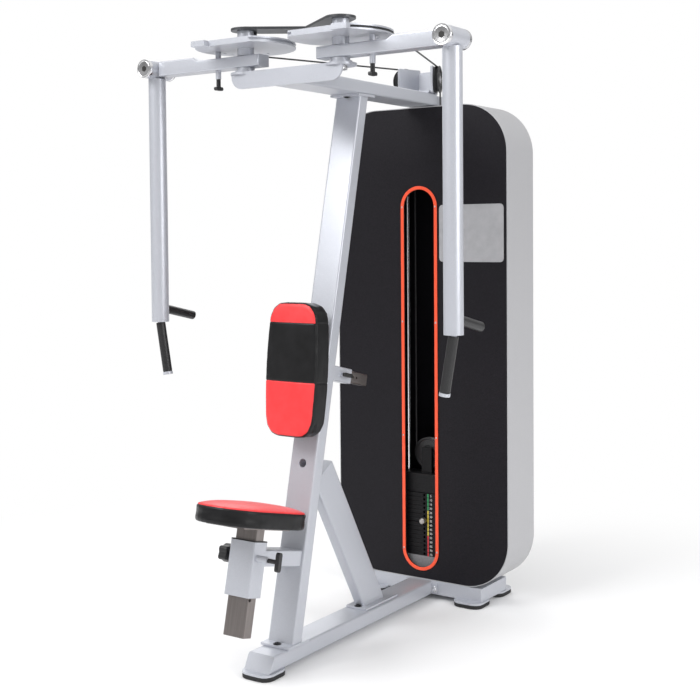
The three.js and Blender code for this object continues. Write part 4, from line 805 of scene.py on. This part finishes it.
def label_ink(name, colour):
    dark = [INK_DARK_SHARE * channel for channel in colour]
    return powder_coat(name, dark, colour, roughness=0.4, grain=200, peel=300, depth=0.00005)


strip_inks = [(plates, label_ink(f"strip_{name}", colour)) for name, plates, colour in STRIP_COLOURS]
number_ink = label_ink("number_white", NUMBER_WHITE)
plates_low, plates_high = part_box("selected_plates")
label_y = plates_low.y - LABEL_RISE


def plate_z(index):
    return plates_high.z - PLATE_PITCH / 2 - index * PLATE_PITCH


def strip_label(index):
    """One plate's part of the coloured strip: a thin bevelled plate on the face of the stack."""
    deselect()
    bpy.ops.mesh.primitive_cube_add(
        size=1,
        location=((STRIP_X[0] + STRIP_X[1]) / 2, label_y, plate_z(index)),
        scale=(STRIP_X[1] - STRIP_X[0], 2 * LABEL_RISE, PLATE_PITCH - STRIP_GAP),
    )
    label = bpy.context.object
    bpy.ops.object.transform_apply(location=True, rotation=True, scale=True)
    round_edges(label, LABEL_RISE / 2, 1)
    label.data.materials.append(next(ink for plates, ink in strip_inks if index < plates))
    return label


def plate_number(index):
    """One plate's number, as flat raised figures beside its strip."""
    deselect()
    bpy.ops.object.text_add(rotation=(math.pi / 2, 0, 0))
    text = bpy.context.object
    text.data.body = str(NUMBER_STEP * (index + 1))
    text.data.size = NUMBER_SIZE
    text.data.extrude = LABEL_RISE
    text.data.align_x = "CENTER"
    text.data.align_y = "CENTER"
    text.data.resolution_u = 3
    text.location = (NUMBER_X, label_y, plate_z(index))
    bpy.ops.object.convert(target="MESH")
    number = bpy.context.object
    bpy.ops.object.transform_apply(location=True, rotation=True, scale=True)
    number.data.materials.clear()
    number.data.materials.append(number_ink)
    return number


for body, name, rows in (
    ("stack", "picked_up", range(PICKED_UP)),
    ("frame", "left_down", range(PICKED_UP, PLATES)),
):
    labels = [make(index) for index in rows for make in (strip_label, plate_number)]
    marks = joined(f"{name}_marks", labels)
    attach(marks, body)

# Seat cushion: foam on a plywood board, wrapped in leatherette. Its red top is sewn to a black side
# that goes all round, and the foam swells both a little.
RED_VINYL = ((0.78, 0.042, 0.046), (0.86, 0.058, 0.062))
BLACK_VINYL = ((0.0045, 0.0045, 0.005), (0.009, 0.009, 0.010))
VINYL_STOPS = (0.3, 0.7)
VINYL_CLOUDS = 26
VINYL_DETAIL = 4
VINYL_PORES = 620
PORE_STRENGTH = 0.35
PORE_DEPTH = 0.00025
FIRST_COLOUR = 6
SECOND_COLOUR = 7
MIXED_COLOUR = 2
FAR = 10
SEAT_SIDE = 0.050
PAD_VOXEL = 0.0045
PAD_START_SHARE = 0.985
PAD_CAP = 0.007
PAD_FRAMES = 20
BLANK_ROUNDS = 8
COVER_ROUNDS = 2
HELD_BASE = 0.006
HELD_SEAM = 0.0030
SEAM_HALF = 0.0035
SEAM_DEPTH = 0.0014
STILL = 1e-9


def leatherette(name, patches):
    """Black leatherette with red patches. Each patch is a list of (direction, from, to) that all hold."""
    material, nodes, links = new_material(name, roughness=0.36, shine=0.28)
    place = nodes.new("ShaderNodeTexCoord").outputs["Object"]

    def reckon(operation, first, second):
        maths = nodes.new("ShaderNodeMath")
        maths.operation = operation
        for socket, value in zip(maths.inputs, (first, second)):
            if isinstance(value, (int, float)):
                socket.default_value = value
            else:
                links.new(value, socket)
        return maths.outputs["Value"]

    def between(direction, start, stop):
        along = nodes.new("ShaderNodeVectorMath")
        along.operation = "DOT_PRODUCT"
        along.inputs[1].default_value = direction
        links.new(place, along.inputs[0])
        above = reckon("GREATER_THAN", along.outputs["Value"], start)
        return reckon("MULTIPLY", above, reckon("LESS_THAN", along.outputs["Value"], stop))

    red = None
    for patch in patches:
        inside = None
        for limits in patch:
            here = between(*limits)
            inside = here if inside is None else reckon("MULTIPLY", inside, here)
        red = inside if red is None else reckon("MAXIMUM", red, inside)
    clouds = noise(nodes, links, place, VINYL_CLOUDS, VINYL_DETAIL)
    mix = nodes.new("ShaderNodeMix")
    mix.data_type = "RGBA"
    links.new(red, mix.inputs["Factor"])
    links.new(tinted(nodes, links, clouds, *BLACK_VINYL, VINYL_STOPS), mix.inputs[FIRST_COLOUR])
    links.new(tinted(nodes, links, clouds, *RED_VINYL, VINYL_STOPS), mix.inputs[SECOND_COLOUR])
    links.new(mix.outputs[MIXED_COLOUR], nodes["Principled BSDF"].inputs["Base Color"])
    pores = nodes.new("ShaderNodeTexVoronoi")
    pores.inputs["Scale"].default_value = VINYL_PORES
    links.new(place, pores.inputs["Vector"])
    emboss(nodes, links, pores.outputs["Distance"], PORE_STRENGTH, PORE_DEPTH)
    return material


def coordinates(piece):
    flat = np.empty(3 * len(piece.data.vertices))
    piece.data.vertices.foreach_get("co", flat)
    return flat.reshape(-1, 3)


def set_coordinates(piece, points):
    piece.data.vertices.foreach_set("co", points.ravel())
    piece.data.update()


def relaxed(piece, rounds):
    """Evens out the piece's surface."""
    only(piece)
    relax = piece.modifiers.new("relax", "SMOOTH")
    relax.factor = 0.5
    relax.iterations = rounds
    bpy.ops.object.modifier_apply(modifier="relax")


def pad_blank(name, node):
    """A closed foam blank: the cushion's own solid, merged, made a little smaller and remeshed evenly."""
    blank = bpy.data.objects.new(name, frame["nodes"][node].data.copy())
    bpy.context.collection.objects.link(blank)
    only(blank)
    points = coordinates(blank)
    middle = (points.min(0) + points.max(0)) / 2
    set_coordinates(blank, middle + (points - middle) * PAD_START_SHARE)
    bpy.ops.object.mode_set(mode="EDIT")
    bpy.ops.mesh.select_all(action="SELECT")
    bpy.ops.mesh.remove_doubles(threshold=WELD_WITHIN)
    bpy.ops.object.mode_set(mode="OBJECT")
    blank.data.remesh_voxel_size = PAD_VOXEL
    bpy.ops.object.voxel_remesh()
    relaxed(blank, BLANK_ROUNDS)
    return blank


def near(value, line):
    return np.abs(value - line) < HELD_SEAM


def stuffed(piece, held):
    """Blows the cover up by cloth simulation. Held points stay, and no point moves further than the cap."""
    start = coordinates(piece)
    group = piece.vertex_groups.new(name="held")
    group.add([int(i) for i in np.nonzero(held)[0]], 1.0, "REPLACE")
    cloth = piece.modifiers.new("cloth", "CLOTH")
    settings = cloth.settings
    settings.quality = 6
    settings.mass = 0.25
    settings.tension_stiffness = 18
    settings.compression_stiffness = 18
    settings.shear_stiffness = 8
    settings.bending_stiffness = 0.8
    settings.use_pressure = True
    settings.uniform_pressure_force = 4
    settings.effector_weights.gravity = 0
    settings.vertex_group_mass = "held"
    cloth.collision_settings.use_collision = False
    for step in range(1, PAD_FRAMES + 1):
        bpy.context.scene.frame_set(step)
    graph = bpy.context.evaluated_depsgraph_get()
    blown = piece.evaluated_get(graph).to_mesh()
    flat = np.empty(3 * len(blown.vertices))
    blown.vertices.foreach_get("co", flat)
    piece.evaluated_get(graph).to_mesh_clear()
    moved = flat.reshape(-1, 3) - start
    far = np.linalg.norm(moved, axis=1, keepdims=True)
    moved *= np.minimum(1, PAD_CAP / np.maximum(far, STILL))
    piece.modifiers.remove(cloth)
    bpy.context.scene.frame_set(1)
    set_coordinates(piece, start + moved)


def sewn(piece, seams):
    """Makes the cover finer and presses a narrow valley along each seam of (direction, place)."""
    relaxed(piece, COVER_ROUNDS)
    finer = piece.modifiers.new("finer", "SUBSURF")
    finer.levels = 1
    finer.render_levels = 1
    bpy.ops.object.modifier_apply(modifier="finer")
    points = coordinates(piece)
    normals = np.empty(3 * len(piece.data.vertices))
    piece.data.vertices.foreach_get("normal", normals)
    normals = normals.reshape(-1, 3)
    for direction, place in seams:
        off = np.abs(points @ np.array(direction) - place) / SEAM_HALF
        points = points - normals * (SEAM_DEPTH * np.maximum(0, 1 - off**2))[:, None]
    set_coordinates(piece, points)
    piece.data.polygons.foreach_set("use_smooth", [True] * len(piece.data.polygons))


seat_cover = pad_blank("seat_cushion", "seat_pad")
height = coordinates(seat_cover) @ np.array(UP_THE_POST)
seat_base = height.min()
seat_seam = seat_base + SEAT_SIDE
stuffed(seat_cover, (height < seat_base + HELD_BASE) | near(height, seat_seam))
sewn(seat_cover, [(UP_THE_POST, seat_seam)])
seat_vinyl = leatherette("seat_vinyl", [[(UP_THE_POST, seat_seam, FAR)]])
hang(seat_cover, "seat", "red_vinyl", seat_vinyl, "seat_pad")

# Back cushion: made as the seat is, on a board that stands steeper than the upright. Its face has a
# broad black band between a short red piece above and a longer one below, and its sides are black.
PAD_TILT = math.radians(8)
BACK_SIDE = 0.072
RED_TOP_SHARE = 0.152
BAND_SHARE = 0.438
tilt = Matrix.Rotation(PAD_TILT, 3, "X")
pad_up = tilt @ UP_THE_POST
pad_out = tilt @ Vector(joint["pad_depth"]["axis"]).normalized()
back_cover = pad_blank("back_cushion", "back_pad")
depth = coordinates(back_cover) @ np.array(pad_out)
rise = coordinates(back_cover) @ np.array(pad_up)
back_base = depth.min()
back_seam = back_base + BACK_SIDE
pad_tall = rise.max() - rise.min()
band_top = rise.max() - RED_TOP_SHARE * pad_tall
band_bottom = band_top - BAND_SHARE * pad_tall
seams = near(depth, back_seam) | near(rise, band_top) | near(rise, band_bottom)
stuffed(back_cover, (depth < back_base + HELD_BASE) | seams)
sewn(back_cover, [(pad_out, back_seam), (pad_up, band_top), (pad_up, band_bottom)])
face_side = (pad_out, back_seam, FAR)
red_patches = [[face_side, (pad_up, band_top, FAR)], [face_side, (pad_up, -FAR, band_bottom)]]
hang(back_cover, "pad", "red_vinyl", leatherette("back_vinyl", red_patches), "back_pad")

# Studio floor: a pale sheet that takes the machine's soft shadow. Away from the machine it fades to
# white for the camera, so that it meets the backdrop without an edge.
WHITE = (1, 1, 1, 1)
FLOOR_TONE = (0.93, 0.93, 0.935, 1)
FLOOR_SIZE = 80
SHADOW_REACH = (1.0, 2.4)


def mixed(nodes, links, share, first, second):
    """A shader that goes over from the first to the second as the share rises."""
    mixer = nodes.new("ShaderNodeMixShader")
    links.new(share, mixer.inputs["Fac"])
    links.new(first, mixer.inputs[1])
    links.new(second, mixer.inputs[2])
    return mixer.outputs["Shader"]


deselect()
bpy.ops.mesh.primitive_plane_add(size=FLOOR_SIZE, location=(0, 0, 0))
floor = bpy.context.object
floor.name = "studio_floor"
floor_paint, nodes, links = new_material("studio_floor", roughness=0.9, shine=0.1)
nodes["Principled BSDF"].inputs["Base Color"].default_value = FLOOR_TONE
spread = nodes.new("ShaderNodeVectorMath")
spread.operation = "LENGTH"
links.new(nodes.new("ShaderNodeTexCoord").outputs["Object"], spread.inputs[0])
fade = ranged(nodes, links, spread.outputs["Value"], SHADOW_REACH, (0, 1))
fade.interpolation_type = "SMOOTHSTEP"
whiteness = nodes.new("ShaderNodeMath")
whiteness.operation = "MULTIPLY"
links.new(fade.outputs["Result"], whiteness.inputs[0])
links.new(nodes.new("ShaderNodeLightPath").outputs["Is Camera Ray"], whiteness.inputs[1])
glow = nodes.new("ShaderNodeEmission")
glow.inputs["Color"].default_value = WHITE
paint, white = nodes["Principled BSDF"].outputs["BSDF"], glow.outputs["Emission"]
seen_floor = mixed(nodes, links, whiteness.outputs["Value"], paint, white)
links.new(seen_floor, nodes["Material Output"].inputs["Surface"])
floor.data.materials.append(floor_paint)

# Sky and lamps: a white surround that grows darker towards the ground, most of all in what the metal
# mirrors, a large soft lamp from the front left, a weaker one from the right and a weak one from behind.
SKY_HEIGHTS = (-0.3, 1)
SKY_GLOW = (0.55, 0.85)
MIRRORED_HEIGHTS = (-0.05, 0.6)
MIRRORED_GLOW = (0.12, 0.95)
LAMP_AIM = (0, 0, 1)
LAMPS = (
    ("key_lamp", (-1.6, -3.8, 4.4), 2.6, 165),
    ("side_lamp", (4.4, -0.4, 2.2), 2.4, 82),
    ("back_lamp", (-2.6, 3.4, 3.0), 2.4, 40),
)
world = bpy.data.worlds.new("studio")
bpy.context.scene.world = world
world.use_nodes = True
nodes, links = world.node_tree.nodes, world.node_tree.links
sky = nodes["Background"]
mirrored = nodes.new("ShaderNodeBackground")
backdrop = nodes.new("ShaderNodeBackground")
for light in (sky, mirrored, backdrop):
    light.inputs["Color"].default_value = WHITE
parts = nodes.new("ShaderNodeSeparateXYZ")
links.new(nodes.new("ShaderNodeTexCoord").outputs["Generated"], parts.inputs["Vector"])
tone = ranged(nodes, links, parts.outputs["Z"], SKY_HEIGHTS, SKY_GLOW)
glint = ranged(nodes, links, parts.outputs["Z"], MIRRORED_HEIGHTS, MIRRORED_GLOW)
links.new(tone.outputs["Result"], sky.inputs["Strength"])
links.new(glint.outputs["Result"], mirrored.inputs["Strength"])
seen = nodes.new("ShaderNodeLightPath").outputs
surround = mixed(
    nodes, links, seen["Is Glossy Ray"], sky.outputs["Background"], mirrored.outputs["Background"]
)
scenery = mixed(nodes, links, seen["Is Camera Ray"], surround, backdrop.outputs["Background"])
links.new(scenery, nodes["World Output"].inputs["Surface"])
for name, place, size, power in LAMPS:
    deselect()
    bpy.ops.object.light_add(type="AREA", location=place)
    lamp = bpy.context.object
    lamp.name = name
    lamp.data.shape = "SQUARE"
    lamp.data.size = size
    lamp.data.energy = power
    lamp.rotation_euler = (Vector(LAMP_AIM) - Vector(place)).to_track_quat("-Z", "Y").to_euler()

# Camera: it stands 1.4 m high and 4.1 m away, in front of the machine and to its right. The lens is
# long, and the frame is shifted down a little as the photograph's is.
CAMERA_PLACE = (2.2936, -3.3652, 1.3690)
CAMERA_TURN = math.radians(34.1512)
CAMERA_PITCH = math.radians(-2.150)
CAMERA_ROLL = math.radians(-0.4659)
FOCAL_PIXELS = 1194.24
PICTURE = 700
SENSOR = 36
SHIFT = -0.10
camera_data = bpy.data.cameras.new("camera")
camera = bpy.data.objects.new("camera", camera_data)
bpy.context.collection.objects.link(camera)
camera_data.sensor_width = SENSOR
camera_data.lens = FOCAL_PIXELS * SENSOR / PICTURE
camera_data.shift_y = SHIFT
camera.location = CAMERA_PLACE
level = Matrix.Rotation(CAMERA_TURN, 4, "Z") @ Matrix.Rotation(math.pi / 2 + CAMERA_PITCH, 4, "X")
camera.rotation_euler = (level @ Matrix.Rotation(CAMERA_ROLL, 4, "Z")).to_euler()
bpy.context.scene.camera = camera
bpy.context.scene.view_settings.view_transform = "Standard"
